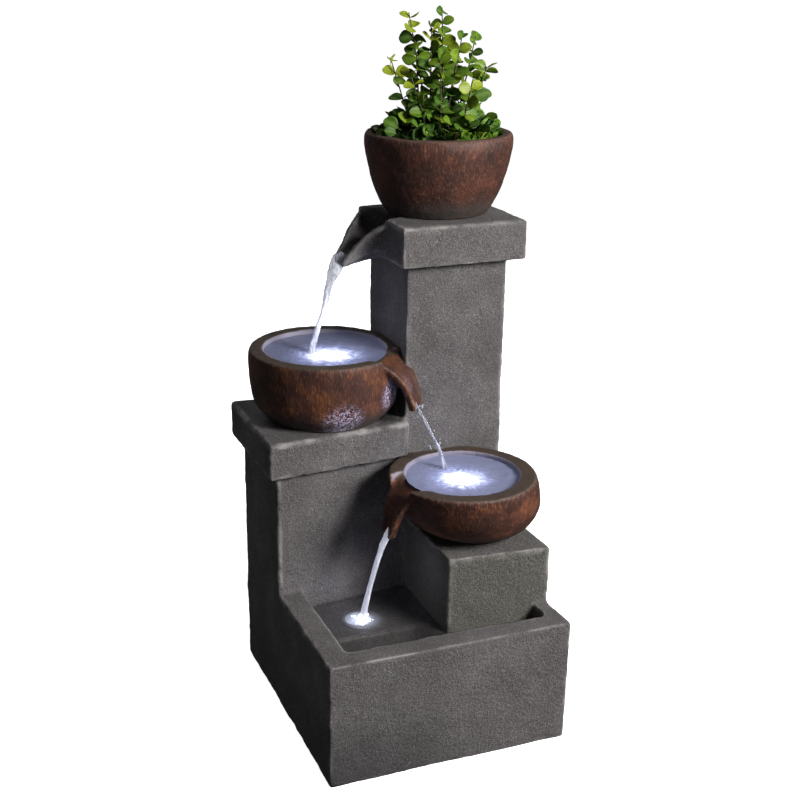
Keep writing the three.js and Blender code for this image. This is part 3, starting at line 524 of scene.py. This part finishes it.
def lathe(name, profile, bowl, lean, segments=96):
    """A closed turned solid whose axis leans; profile is [radius, height] from the foot up, in mm."""
    height = bowl["rim"] - bowl["foot"]
    points, faces = [], []
    for radius, level in profile:
        down = (height - level) / height
        for s in range(segments):
            turn = 2 * math.pi * s / segments
            points.append(((bowl["x"] + lean[0] * down + radius * math.cos(turn)) * MM,
                           (bowl["y"] + lean[1] * down + radius * math.sin(turn)) * MM,
                           (bowl["foot"] + level) * MM))
    for r in range(len(profile) - 1):
        for s in range(segments):
            n = (s + 1) % segments
            faces.append((r * segments + s, r * segments + n, (r + 1) * segments + n, (r + 1) * segments + s))
    faces.append(tuple(reversed(range(segments))))
    top = (len(profile) - 1) * segments
    faces.append(tuple(range(top, top + segments)))
    return from_lists(name, points, faces)


def block(name, low, high):
    points = [(x * MM, y * MM, z * MM)
              for x in (low[0], high[0]) for y in (low[1], high[1]) for z in (low[2], high[2])]
    faces = [(0, 1, 3, 2), (4, 6, 7, 5), (0, 4, 5, 1), (2, 3, 7, 6), (0, 2, 6, 4), (1, 5, 7, 3)]
    return from_lists(name, points, faces)


def to_mesh(name, made):
    """A new mesh from a bmesh, which is freed."""
    mesh = bpy.data.meshes.new(name)
    made.to_mesh(mesh)
    made.free()
    return mesh


def loft(name, rings):
    """A closed solid through rings of equal point counts, in mm."""
    count = len(rings[0])
    points = [tuple(np.array(p) * MM) for ring in rings for p in ring]
    faces = []
    for r in range(len(rings) - 1):
        for s in range(count):
            n = (s + 1) % count
            faces.append((r * count + s, r * count + n, (r + 1) * count + n, (r + 1) * count + s))
    faces.append(tuple(reversed(range(count))))
    last = (len(rings) - 1) * count
    faces.append(tuple(range(last, last + count)))
    mesh = from_lists(name, points, faces)
    made = bmesh.new()
    made.from_mesh(mesh)
    bmesh.ops.recalc_face_normals(made, faces=made.faces)
    made.to_mesh(mesh)
    made.free()
    return mesh


def bezier(points, t):
    a, b, c = (np.array(p, float) for p in points)
    at = (1 - t) ** 2 * a + 2 * t * (1 - t) * b + t * t * c
    ahead = 2 * (1 - t) * (b - a) + 2 * t * (c - b)
    return at, ahead / np.linalg.norm(ahead)


def chute(name, section, spout, bowl, wall, extra=0.0, steps=28):
    """The spout's solid or channel, swept along its curve in the bowl's radial plane."""
    rings = []
    azimuth = math.radians(spout["azimuth"])
    for i in range(steps + 1):
        t = i / steps
        at, ahead = bezier(spout["route"], t)
        at = at + ahead * extra * max(0.0, (t - 0.8) / 0.2)
        half = spout["root"] + (spout["tip"] - spout["root"]) * t - wall
        ring = []
        for across, up in section:
            r, side, z = at[0] - ahead[1] * up, across * half, at[1] + ahead[0] * up
            ring.append((bowl["x"] + r * math.cos(azimuth) - side * math.sin(azimuth),
                         bowl["y"] + r * math.sin(azimuth) + side * math.cos(azimuth), bowl["rim"] + z))
        rings.append(ring)
    return loft(name, rings)


# ---------- bowls ----------
# Sections of a spout: across as a share of its half width, up in mm from the floor of its channel.
CHUTE_SHELL = [(-1, 3.5), (-1, -2), (-0.85, -6), (-0.5, -8), (0.5, -8), (0.85, -6), (1, -2), (1, 3.5)]
CHUTE_CHANNEL = [(-1, 24), (-1, 5), (-0.85, 2.2), (-0.5, 0.4), (0, 0), (0.5, 0.4), (0.85, 2.2), (1, 5),
                 (1, 24)]
CHANNEL_RUNS_ON = 8.0


def bowl_profiles(bowl, foot, fullness):
    height = bowl["rim"] - bowl["foot"]
    bulge = bowl["outer"] - foot
    wall = bowl["outer"] - bowl["inner"]
    side = spline([[foot, 4], [foot + bulge * fullness, height * 0.22], [foot + bulge * 0.92, height * 0.5],
                   [bowl["outer"], height * 0.82], [bowl["outer"] - 0.8, height * 0.97],
                   [bowl["outer"] - 2.6, height]], 30)
    outside = [[foot - 4, 0], [foot - 1, 1.2], *side.tolist()]
    well = spline([[foot - wall * 0.9, BOWL_FLOOR + 2], [foot + bulge * 0.66 - wall, height * 0.42],
                   [bowl["inner"] - 3, height * 0.75], [bowl["inner"], height + 1]], 20)
    return outside, [[4, BOWL_FLOOR], *well.tolist()]


def planter_profiles():
    height = PLANTER["rim"] - PLANTER["foot"]
    side = spline([[64, 3], [71, height * 0.14], [80, height * 0.36], [87, height * 0.64],
                   [90.8, height * 0.86], [89.8, height * 0.97], [87.8, height]], 34)
    well = spline([[48, BOWL_FLOOR + 2], [64, height * 0.36], [74, height * 0.7], [78, height + 1]], 20)
    return [[61, 0], [63, 1], *side.tolist()], [[4, BOWL_FLOOR], *well.tolist()]


def finish_bowl(piece, bowl, node, voxel, glints, lit, material):
    modify(piece, "REMESH", mode="VOXEL", voxel_size=voxel)
    settle(piece)
    soften(piece, passes=4, full=0.0008)
    roughen(piece, size=0.010, strength=0.0011)
    roughen(piece, size=0.035, strength=0.0016)
    settle(piece)
    mesh = piece.data
    spots = positions(mesh) / MM
    facing = normals(mesh)
    height = bowl["rim"] - bowl["foot"]
    rim = fade(facing[:, 2], 0.45, 0.80) * fade(spots[:, 2], bowl["rim"] - 9, bowl["rim"] - 5)
    store(mesh, "rim", rim * 0.92)
    # darker towards the foot, fading out a third of the way up
    store(mesh, "lower", (1 - fade((spots[:, 2] - bowl["foot"]) / height, 0.06, 0.34)) * 0.88)
    outward = spots[:, :2] - np.array([bowl["x"], bowl["y"]])
    outward /= np.maximum(np.linalg.norm(outward, axis=1, keepdims=True), 1.0)
    inward = fade(-(outward * facing[:, :2]).sum(1), 0.25, 0.60)
    store(mesh, "lit", inward * fade(spots[:, 2], bowl["rim"] - 30, bowl["rim"] - 20) * lit)
    glint = np.zeros(len(spots))
    for centre, reach in glints:
        away = np.linalg.norm(spots - np.array(centre), axis=1)
        glint = np.maximum(glint, 1 - fade(away, reach * 0.35, reach))
    store(mesh, "glint", glint * 0.8)
    mesh.materials.clear()
    mesh.materials.append(material)
    smooth_shaded(mesh)
    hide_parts(node)
    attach(piece, ROOT)


def spouted_bowl(node, bowl, foot, lean, fullness, spout, trims, glints, material):
    outside, inside = bowl_profiles(bowl, foot, fullness)
    piece = link(node + "_stone", lathe(node, outside, bowl, lean))
    shell = chute("shell", CHUTE_SHELL, spout, bowl, wall=0.0)
    channel = chute("channel", CHUTE_CHANNEL, spout, bowl, spout["wall"], CHANNEL_RUNS_ON)
    combine(piece, link("shell", shell), "UNION")
    combine(piece, link("well", lathe("well", inside, bowl, lean)), "DIFFERENCE")
    combine(piece, link("channel", channel), "DIFFERENCE")
    for low, high in trims:
        combine(piece, link("trim", block("trim", low, high)), "DIFFERENCE")
    finish_bowl(piece, bowl, node, voxel=0.0020, glints=glints, lit=0.7, material=material)


def add_bowls():
    rust_mid = rust_material("rust_middle", (0.046, 0.035, 0.026), (0.185, 0.062, 0.018))
    rust_low = rust_material("rust_lower", (0.058, 0.043, 0.033), (0.235, 0.080, 0.034))
    rust_top = rust_material("rust_planter", (0.100, 0.056, 0.044), (0.160, 0.050, 0.028))
    column_x, column_y = TALL_COLUMN_CORNER
    mid_spout = dict(route=[(58, -6), (110, -1), (122, -65)], root=40, tip=13, wall=3.5, azimuth=-42)
    low_spout = dict(route=[(48, -5.5), (90, -1), (98, -67)], root=44, tip=11, wall=4.5, azimuth=182)
    spouted_bowl("middle_bowl", MID_BOWL, foot=73.7, lean=(0, 0), fullness=0.66, spout=mid_spout,
                 trims=[((column_x, column_y, 340), (60, 220, 460))],
                 glints=[((-72, 4, 372), 34.0), ((-2, 28, 402), 28.0)], material=rust_mid)
    spouted_bowl("lower_bowl", LOW_BOWL, foot=50, lean=(26, 17), fullness=0.55, spout=low_spout,
                 trims=[((-60, column_y, 200), (200, 120, 330))], glints=[], material=rust_low)
    outside, inside = planter_profiles()
    piece = link("planter_bowl_stone", lathe("planter_bowl", outside, PLANTER, PLANTER_LEAN))
    combine(piece, link("well", lathe("well", inside, PLANTER, PLANTER_LEAN)), "DIFFERENCE")
    finish_bowl(piece, PLANTER, "planter_bowl", voxel=0.0021, glints=[], lit=0.0, material=rust_top)


# ---------- castings ----------
STONE_NODES = ["basin_tub", "trough_shelf", "left_column", "middle_slab", "tall_column", "top_slab",
               "top_spout", "pedestal_block"]
# Boxes round the faces that only the inside and the underside show, in mm.
HOLLOWS = [((-147, 28, 154), (15, 160, 347)), ((27, 47, 154), (147, 160, 592)),
           ((-125, 37, 8), (135, 147, 154)), ((28, -92, 12), (134, 44, 222)),
           ((-125, -44, 10), (24, 30, 110)), ((-160, -170, -5), (160, 170, 2))]
CASTING_SWELL = 0.00025


def add_casting():
    """All the stone nodes, swollen to meet, as one worn casting with no seams."""
    joined = bmesh.new()
    for name in STONE_NODES:
        mesh = frame["nodes"][name].data.copy()
        joined.from_mesh(mesh)
        bpy.data.meshes.remove(mesh)
    bmesh.ops.remove_doubles(joined, verts=joined.verts, dist=1e-6)
    joined.normal_update()
    for vert in joined.verts:
        reach = sum((face.normal for face in vert.link_faces), Vector())
        axes = Vector([1.0 if c > 1e-3 else -1.0 if c < -1e-3 else 0.0 for c in reach])
        vert.co += axes * CASTING_SWELL
    piece = link("fountain_casting", to_mesh("fountain_casting", joined))
    modify(piece, "REMESH", mode="VOXEL", voxel_size=0.0030)
    settle(piece)
    soften(piece, passes=3, full=0.0004)
    roughen(piece, size=0.009, strength=0.0014)
    roughen(piece, size=0.045, strength=0.0026)
    settle(piece)
    spots = positions(piece.data) / MM
    hidden = np.zeros(len(spots), bool)
    for low, high in HOLLOWS:
        hidden |= ((spots > low) & (spots < high)).all(1)
    group = piece.vertex_groups.new(name="hidden")
    group.add(np.nonzero(hidden)[0].tolist(), 1.0, "REPLACE")
    modify(piece, "DECIMATE", ratio=1 - 0.85 * hidden.mean(), vertex_group="hidden",
           vertex_group_factor=1000.0)
    settle(piece)
    piece.vertex_groups.clear()
    mesh = piece.data
    x, y, z = (positions(mesh) / MM).T
    pedestal = fade(x, 16, 24) * fade(y, -112, -106) * (1 - fade(y, 36, 44))
    pedestal *= fade(z, 96, 110) * (1 - fade(z, 222, 232))
    store(mesh, "moss", pedestal * 0.75)
    wet = (1 - fade(z, 128, 134)) * (np.abs(x) < 140) * (np.abs(y) < 145) * (z > 8)
    # painted shade: darker towards the ground and towards the left, away from the key light
    shaded = (1 - fade(z, 0, 120)) * (1 - fade(x, -165, 90)) * 0.55
    store(mesh, "wet_and_painted_shade", np.clip(wet * 0.35 + shaded, 0, 1))
    # painted light: a mask over the top spout, left of x -16 mm and above 500 mm, that lightens it as if lit
    store(mesh, "painted_spout_light", fade(-x, 16, 32) * fade(z, 500, 515))
    wear = np.empty(len(mesh.vertices), np.float32)
    mesh.attributes["wear"].data.foreach_get("value", wear)
    store(mesh, "wear", np.minimum(wear * 1.6, 1.0))
    mesh.materials.clear()
    mesh.materials.append(stone_material())
    smooth_shaded(mesh)
    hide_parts(*STONE_NODES)
    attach(piece, ROOT)


# ---------- water ----------
def rippled_disc(name, centre, level, radius, source, material, rings=44, segments=96, height=0.9):
    """A round pool whose rings of ripples spread from where the stream falls in."""
    points, faces = [], []
    for r in range(rings + 1):
        for s in range(segments):
            turn = 2 * math.pi * s / segments
            px = centre[0] + radius * r / rings * math.cos(turn)
            py = centre[1] + radius * r / rings * math.sin(turn)
            away = math.hypot(px - source[0], py - source[1])
            wave = math.sin(away * 0.95) * math.exp(-away / 26.0) * height
            chop = noise.noise(Vector((px * 0.09, py * 0.09, 3.1))) * 0.55
            chop += noise.noise(Vector((px * 0.26, py * 0.26, 8.4))) * 0.22
            points.append((px * MM, py * MM, (level + wave + chop) * MM))
    for r in range(rings):
        for s in range(segments):
            n = (s + 1) % segments
            inner, outer = r * segments, (r + 1) * segments
            faces.append((inner + s, outer + s, outer + n, inner + n))
    piece = link(name, from_lists(name, points, faces), material)
    cleaned = bmesh.new()
    cleaned.from_mesh(piece.data)
    bmesh.ops.remove_doubles(cleaned, verts=cleaned.verts, dist=1e-5)
    cleaned.to_mesh(piece.data)
    cleaned.free()
    smooth_shaded(piece.data)
    return piece


def stream(name, path, widths, depths, twist, seed, material, sides=18, steps=90, rough=0.22):
    """A falling rope of water: an uneven, turning oval section along the path."""
    line = spline(path, steps)
    wide = np.interp(np.linspace(0, 1, steps), np.linspace(0, 1, len(widths)), widths)
    deep = np.interp(np.linspace(0, 1, steps), np.linspace(0, 1, len(depths)), depths)
    rings = []
    for i in range(steps):
        ahead = Vector(line[min(i + 1, steps - 1)] - line[max(i - 1, 0)]).normalized()
        side = ahead.cross(Vector((0.35, 1.0, 0.0))).normalized()
        front = ahead.cross(side).normalized()
        spin = twist * i / steps
        ring = []
        for s in range(sides):
            turn = 2 * math.pi * s / sides
            cosine, sine = math.cos(turn), math.sin(turn)
            push = 1.0 + rough * noise.noise(Vector((cosine * 1.4, sine * 1.4, i * 0.10 + seed)))
            push += rough * 0.6 * noise.noise(Vector((cosine * 3, sine * 3, i * 0.33 + seed)))
            a, b = cosine * wide[i] * 0.5 * push, sine * deep[i] * 0.5 * push
            u = a * math.cos(spin) - b * math.sin(spin)
            v = a * math.sin(spin) + b * math.cos(spin)
            ring.append(tuple(Vector(line[i]) + side * u + front * v))
        rings.append(ring)
    piece = link(name, loft(name, rings), material)
    smooth_shaded(piece.data)
    return piece


def droplets(name, spots, material):
    """Small stretched drops, in one mesh; each spot is (x, y, z, size) in mm."""
    made = bmesh.new()
    for x, y, z, size in spots:
        start = len(made.verts)
        bmesh.ops.create_icosphere(made, subdivisions=2, radius=size * MM)
        made.verts.ensure_lookup_table()
        for vert in made.verts[start:]:
            swell = 1 + 0.25 * noise.noise(vert.co * 900 + Vector((x, y, z)))
            vert.co = vert.co * swell
            vert.co.z *= 1.35
            vert.co += Vector((x, y, z)) * MM
    mesh = to_mesh(name, made)
    smooth_shaded(mesh)
    return link(name, mesh, material)


def basin_water(material):
    """The basin's pool, its edge tucked just inside the stone."""
    low, high = (-123.2, -138.2), (133.4, 42.0)
    nx, ny = 110, 78
    points, faces = [], []
    for j in range(ny + 1):
        for i in range(nx + 1):
            px = low[0] + (high[0] - low[0]) * i / nx
            py = low[1] + (high[1] - low[1]) * j / ny
            away = math.hypot(px - BASIN_GLOW[0], py - BASIN_GLOW[1])
            wave = math.sin(away * 0.62) * math.exp(-away / 34.0)
            chop = noise.noise(Vector((px * 0.05, py * 0.05, 1.7))) * 0.7
            points.append((px * MM, py * MM, (BASIN_WATER + wave + chop) * MM))
    for j in range(ny):
        for i in range(nx):
            a = j * (nx + 1) + i
            faces.append((a, a + 1, a + nx + 2, a + nx + 1))
    piece = link("basin_pool", from_lists("basin_pool", points, faces), material)
    smooth_shaded(piece.data)
    return piece


def add_water():
    falling = stream_material("falling_water", emission=0.03, alpha=0.80)
    thin_falling = stream_material("thin_falling_water", emission=0.02, alpha=0.55)
    lit_falling = stream_material("falling_water_lit", emission=0.28)
    glow = glow_material()
    middle_water = pool_material("middle_water", MID_GLOW, MID_WATER, 0.062, (0.105, 0.112, 0.172))
    lower_water = pool_material("lower_water", LOW_GLOW, LOW_WATER, 0.056, (0.165, 0.178, 0.265))
    top_path = [(-36, 106, 556), (-43, 105, 551), (-50, 103.5, 541), (-58, 101.5, 520), (-66, 99, 490),
                (-77, 96.5, 462), (-84, 94.5, 440)]
    middle_path = [(21, 15, 389), (25, 10, 381), (31, 4, 369), (39, -2, 350), (47, -8, 330), (53, -12, 307)]
    lower_path = [(-30, -44, 256), (-35, -44, 249), (-41, -42, 234), (-48, -38, 206), (-55, -33, 170),
                  (*BASIN_GLOW, 128)]
    pieces = [
        rippled_disc("middle_pool", centre=(MID_BOWL["x"], MID_BOWL["y"]), level=MID_WATER, radius=76.4,
                     source=(-84.0, 94.5), material=middle_water),
        rippled_disc("lower_pool", centre=(63.6, -40.0), level=LOW_WATER, radius=69.8, source=(55, -14),
                     material=lower_water),
        basin_water(basin_water_material()),
        stream("top_stream", top_path, widths=[13, 17, 20, 18, 13, 10, 9, 11, 14],
               depths=[8, 6, 6, 7, 7, 7, 9], twist=2.2, seed=1.0, material=falling),
        stream("middle_stream", middle_path, widths=[7, 4.5, 3, 4.5, 6, 9], depths=[4, 3, 2.5, 3, 4, 6],
               twist=1.6, seed=5.0, material=thin_falling, rough=0.6),
        stream("lower_stream", lower_path, widths=[10, 9, 8, 7, 6.5, 7, 10],
               depths=[6, 5, 5, 5, 5.5, 6, 8], twist=1.2, seed=9.0, material=lit_falling),
    ]
    random.seed(11)
    bits = [(26 + random.uniform(-5, 5), 8 + random.uniform(-5, 5), 380 + random.uniform(-6, 8),
             random.uniform(0.6, 1.5)) for _ in range(16)]
    bits += [(42 + random.uniform(-8, 8), -4 + random.uniform(-5, 5), 345 + random.uniform(-14, 14),
              random.uniform(0.5, 1.2)) for _ in range(12)]
    bits += [(-34 + random.uniform(-3, 6), -44 + random.uniform(-3, 3), 247 + random.uniform(-2, 3),
              random.uniform(0.5, 1.1)) for _ in range(8)]
    pieces.append(droplets("stray_drops", bits, falling))
    froth = [(BASIN_GLOW[0], BASIN_GLOW[1], BASIN_WATER + 1.5, 6.5)]
    for _ in range(70):
        turn, away = random.uniform(0, 2 * math.pi), abs(random.gauss(0, 5.5))
        froth.append((BASIN_GLOW[0] + away * math.cos(turn), BASIN_GLOW[1] + away * math.sin(turn),
                      BASIN_WATER + random.uniform(0, 4), random.uniform(0.4, 1.3)))
    pieces.append(droplets("basin_splash", froth, glow))
    for piece in pieces:
        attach(piece, ROOT)


# ---------- planting ----------
# How far each stem's tip is from the middle of the soil's top, in mm.
STEMS = [(0, 0, 154), (-44, -4, 149), (-16, -8, 132), (46, 2, 120), (22, -12, 124), (64, 6, 84),
         (-64, 2, 98), (-28, 14, 118), (36, 24, 104), (8, 22, 128), (-12, -26, 96), (54, -14, 84),
         (-48, -18, 84), (30, -30, 78)]
LEAF_OUTLINE = [(0.0, 0.06), (0.10, 0.42), (0.28, 0.86), (0.52, 1.0), (0.75, 0.90), (0.92, 0.52), (1.0, 0.12)]
LOW_LEAVES = 270
SUNWARD = Vector((0.30, -0.72, 0.62))


def leaf_points(size, breadth, cup, droop):
    """A round leaf as rows of (point, vein) from its stalk to its tip, lying along +X."""
    rows = []
    for along, half in LEAF_OUTLINE:
        row = []
        for across in (-1.0, -0.5, 0.0, 0.5, 1.0):
            y = across * half * breadth * size * 0.5
            z = cup * size * (across * half) ** 2 - droop * size * along ** 2
            row.append(((along * size, y, z), 1.0 if across == 0.0 else 0.0))
        rows.append(row)
    return rows


def add_plant():
    random.seed(42)
    points, faces, tints, veins = [], [], [], []

    def put_leaf(at, direction, lift, size, tint):
        breadth = random.uniform(0.86, 1.04)
        cup = random.uniform(0.08, 0.20)
        droop = random.uniform(0.02, 0.18)
        rows = leaf_points(size, breadth, cup, droop)
        level = math.cos(lift)
        ahead = Vector((math.cos(direction) * level, math.sin(direction) * level, math.sin(lift)))
        facing = SUNWARD + Vector([random.gauss(0, 0.42) for _ in range(3)])
        facing = (facing - facing.dot(ahead) * ahead).normalized()
        side = facing.cross(ahead)
        first = len(points)
        for row in rows:
            for spot, vein in row:
                points.append(tuple((Vector(at) + ahead * spot[0] + side * spot[1] + facing * spot[2]) * MM))
                tints.append(tint)
                veins.append(vein)
        for r in range(len(rows) - 1):
            for c in range(4):
                a = first + r * 5 + c
                faces.append((a, a + 1, a + 6, a + 5))

    rim = PLANTER["rim"]
    base = Vector((PLANTER["x"], PLANTER["y"], rim - 10))
    stem_lines = []
    for dx, dy, height in STEMS:
        foot = base + Vector((dx * 0.45, dy * 0.45, 0))
        tip = base + Vector((dx, dy, height))
        bend = Vector((random.uniform(-6, 6), random.uniform(-6, 6), 0))
        line = spline([foot, foot.lerp(tip, 0.35) + bend, foot.lerp(tip, 0.7) + bend * 0.5, tip], 24)
        stem_lines.append(line)
        pairs = max(4, int(height / 14.5))
        turn = random.uniform(0, math.pi)
        for i in range(pairs):
            t = 0.20 + 0.78 * i / (pairs - 1)
            at = line[min(int(t * 23), 23)]
            size = 21.5 - 6.5 * t + random.uniform(-2.0, 2.0)
            turn += math.pi / 2 + random.uniform(-0.3, 0.3)
            bright = min(1.0, max(0.0, 0.34 + 0.46 * t + random.gauss(0, 0.22)))
            for side in (0.0, math.pi):
                direction = turn + side + random.uniform(-0.2, 0.2)
                put_leaf(at, direction, random.uniform(-0.10, 0.70), size, bright)
    for _ in range(LOW_LEAVES):
        away, turn = 72 * math.sqrt(random.random()), random.uniform(0, 2 * math.pi)
        x, y = away * math.cos(turn), away * math.sin(turn)
        z = random.uniform(-2, 16 + 34 * max(0.0, 1 - away / 72))
        put_leaf(base + Vector((x, y, z)), turn + random.uniform(-1.2, 1.2), random.uniform(-0.3, 0.9),
                 random.uniform(12, 20), min(1.0, max(0.0, random.gauss(0.34, 0.22))))

    leaves = link("leaves", from_lists("leaves", points, faces), leaf_material())
    store(leaves.data, "tint", tints)
    store(leaves.data, "vein", veins)
    modify(leaves, "SUBSURF", levels=1)
    modify(leaves, "SOLIDIFY", thickness=0.0005, offset=0.0)
    settle(leaves)
    smooth_shaded(leaves.data)
    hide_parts("plant")

    made = bmesh.new()
    for line in stem_lines:
        loops = []
        for i, at in enumerate(line):
            radius = (1.35 - 0.75 * i / len(line)) * MM
            loops.append([made.verts.new((at[0] * MM + radius * math.cos(k * math.pi / 4),
                                          at[1] * MM + radius * math.sin(k * math.pi / 4), at[2] * MM))
                          for k in range(8)])
        for lower, upper in zip(loops, loops[1:]):
            for k in range(8):
                made.faces.new((lower[k], lower[(k + 1) % 8], upper[(k + 1) % 8], upper[k]))
        made.faces.new(list(reversed(loops[0])))
        made.faces.new(loops[-1])
    mesh = to_mesh("stems", made)
    smooth_shaded(mesh)
    stems = link("stems", mesh, stem_material())
    for piece in (leaves, stems):
        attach(piece, ROOT)


def add_soil():
    height = PLANTER["rim"] - PLANTER["foot"]
    side = spline([[46, BOWL_FLOOR + 2.5], [62.5, height * 0.36], [72.5, height * 0.7],
                   [75.5, height - 16]], 14)
    crown = [[66, height - 13.5], [56, height - 12], [44, height - 11], [30, height - 10],
             [14, height - 9.5], [3, height - 9]]
    outline = [[4, BOWL_FLOOR + 1.5], *side.tolist(), *crown]
    piece = link("soil", lathe("soil", outline, PLANTER, PLANTER_LEAN), soil_material())
    modify(piece, "REMESH", mode="VOXEL", voxel_size=0.0024)
    settle(piece)
    roughen(piece, size=0.006, strength=0.0030)
    settle(piece)
    piece.data.materials.clear()
    piece.data.materials.append(bpy.data.materials["potting_soil"])
    smooth_shaded(piece.data)
    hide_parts("potting_soil")
    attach(piece, ROOT)


# ---------- pump, lamps, wiring and rear fittings ----------
# How far the rounded leads and hose swell back after their flat sides are subdivided, in mm.
ROUND_RUNS = dict(riser_hose=1.6, middle_lamp_lead=0.9, lower_lamp_lead=0.9, basin_lamp_lead=0.9,
                  pump_lead=0.9)
# Each slot's material name, darkest and lightest colour and roughness, then for some the grain's scale
# and the metallic value.
MOULDED = {
    "black_plastic": ("plastic_black", (0.010, 0.010, 0.011), (0.020, 0.020, 0.022), 0.50),
    "grey_plastic": ("plastic_grey", (0.095, 0.100, 0.105), (0.135, 0.140, 0.148), 0.50),
    "rubber": ("rubber_black", (0.011, 0.011, 0.011), (0.024, 0.024, 0.024), 0.75, 900.0),
    "clear_hose": ("hose_clear", (0.440, 0.480, 0.490), (0.560, 0.600, 0.610), 0.28, 120.0),
    "magnet": ("magnet_grey", (0.032, 0.032, 0.036), (0.055, 0.055, 0.060), 0.45, 800.0, 0.6),
    "ceramic_white": ("ceramic_pale", (0.740, 0.715, 0.660), (0.820, 0.800, 0.750), 0.25, 90.0),
    "lens": ("lens_pale", (0.620, 0.690, 0.820), (0.800, 0.870, 0.980), 0.12, 60.0),
}


def add_fittings():
    """The remaining nodes, each with eased edges and its own finish."""
    looks = {slot: moulded_material(*look) for slot, look in MOULDED.items()}
    looks["steel"] = steel_material()
    done = set(STONE_NODES) | {"middle_bowl", "lower_bowl", "planter_bowl", "potting_soil", "plant"}
    bodies = frame["record"]["behaviour"]["bodies"]
    body_of = {node: body for body, members in bodies.items() for node in members}
    for part in frame["record"]["subparts"]:
        node, slot = part["node"], part["material_slot"]
        if node in done:
            continue
        eased = bmesh.new()
        eased.from_mesh(frame["nodes"][node].data)
        bmesh.ops.remove_doubles(eased, verts=eased.verts, dist=1e-6)
        if node in ROUND_RUNS:
            bmesh.ops.join_triangles(eased, faces=eased.faces, angle_face_threshold=0.6,
                                     angle_shape_threshold=3.1)
        else:
            bmesh.ops.dissolve_limit(eased, angle_limit=math.radians(1.0), verts=eased.verts,
                                     edges=eased.edges)
        piece = link(node + "_piece", to_mesh(node + "_eased", eased), looks[slot])
        if node in ROUND_RUNS:
            modify(piece, "SUBSURF", levels=2)
            modify(piece, "DISPLACE", strength=ROUND_RUNS[node] * MM, mid_level=0.0)
            settle(piece)
            smooth_shaded(piece.data)
        else:
            modify(piece, "BEVEL", width=0.0004, segments=2, limit_method="ANGLE",
                   angle_limit=math.radians(40), use_clamp_overlap=True)
            settle(piece)
            smooth_shaded(piece.data, 32)
        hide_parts(node)
        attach(piece, body_of[node])


def add_floor():
    """A pale round floor whose edge curves up into a backdrop, and doesn't spill light back on the object."""
    reach, curve, height, segments = 8.0, 4.0, 16.0, 64
    profile = [(reach + curve * math.sin(math.radians(a)), curve - curve * math.cos(math.radians(a)))
               for a in range(0, 91, 10)] + [(reach + curve, height)]
    points, faces = [(0.0, 0.0, 0.0)], []
    for radius, z in profile:
        for k in range(segments):
            turn = 2 * math.pi * k / segments
            points.append((radius * math.cos(turn), radius * math.sin(turn), z))
    for k in range(segments):
        n = (k + 1) % segments
        faces.append((0, 1 + k, 1 + n))
        for r in range(len(profile) - 1):
            a = 1 + r * segments
            faces.append((a + k, a + segments + k, a + segments + n, a + n))
    floor = link("studio_floor", from_lists("floor", points, faces), floor_material())
    smooth_shaded(floor.data)
    floor.visible_diffuse = False
    floor.visible_glossy = False


add_camera()
add_studio()
add_casting()
add_bowls()
add_water()
add_plant()
add_soil()
add_fittings()
add_floor()

bpy.context.view_layer.update()
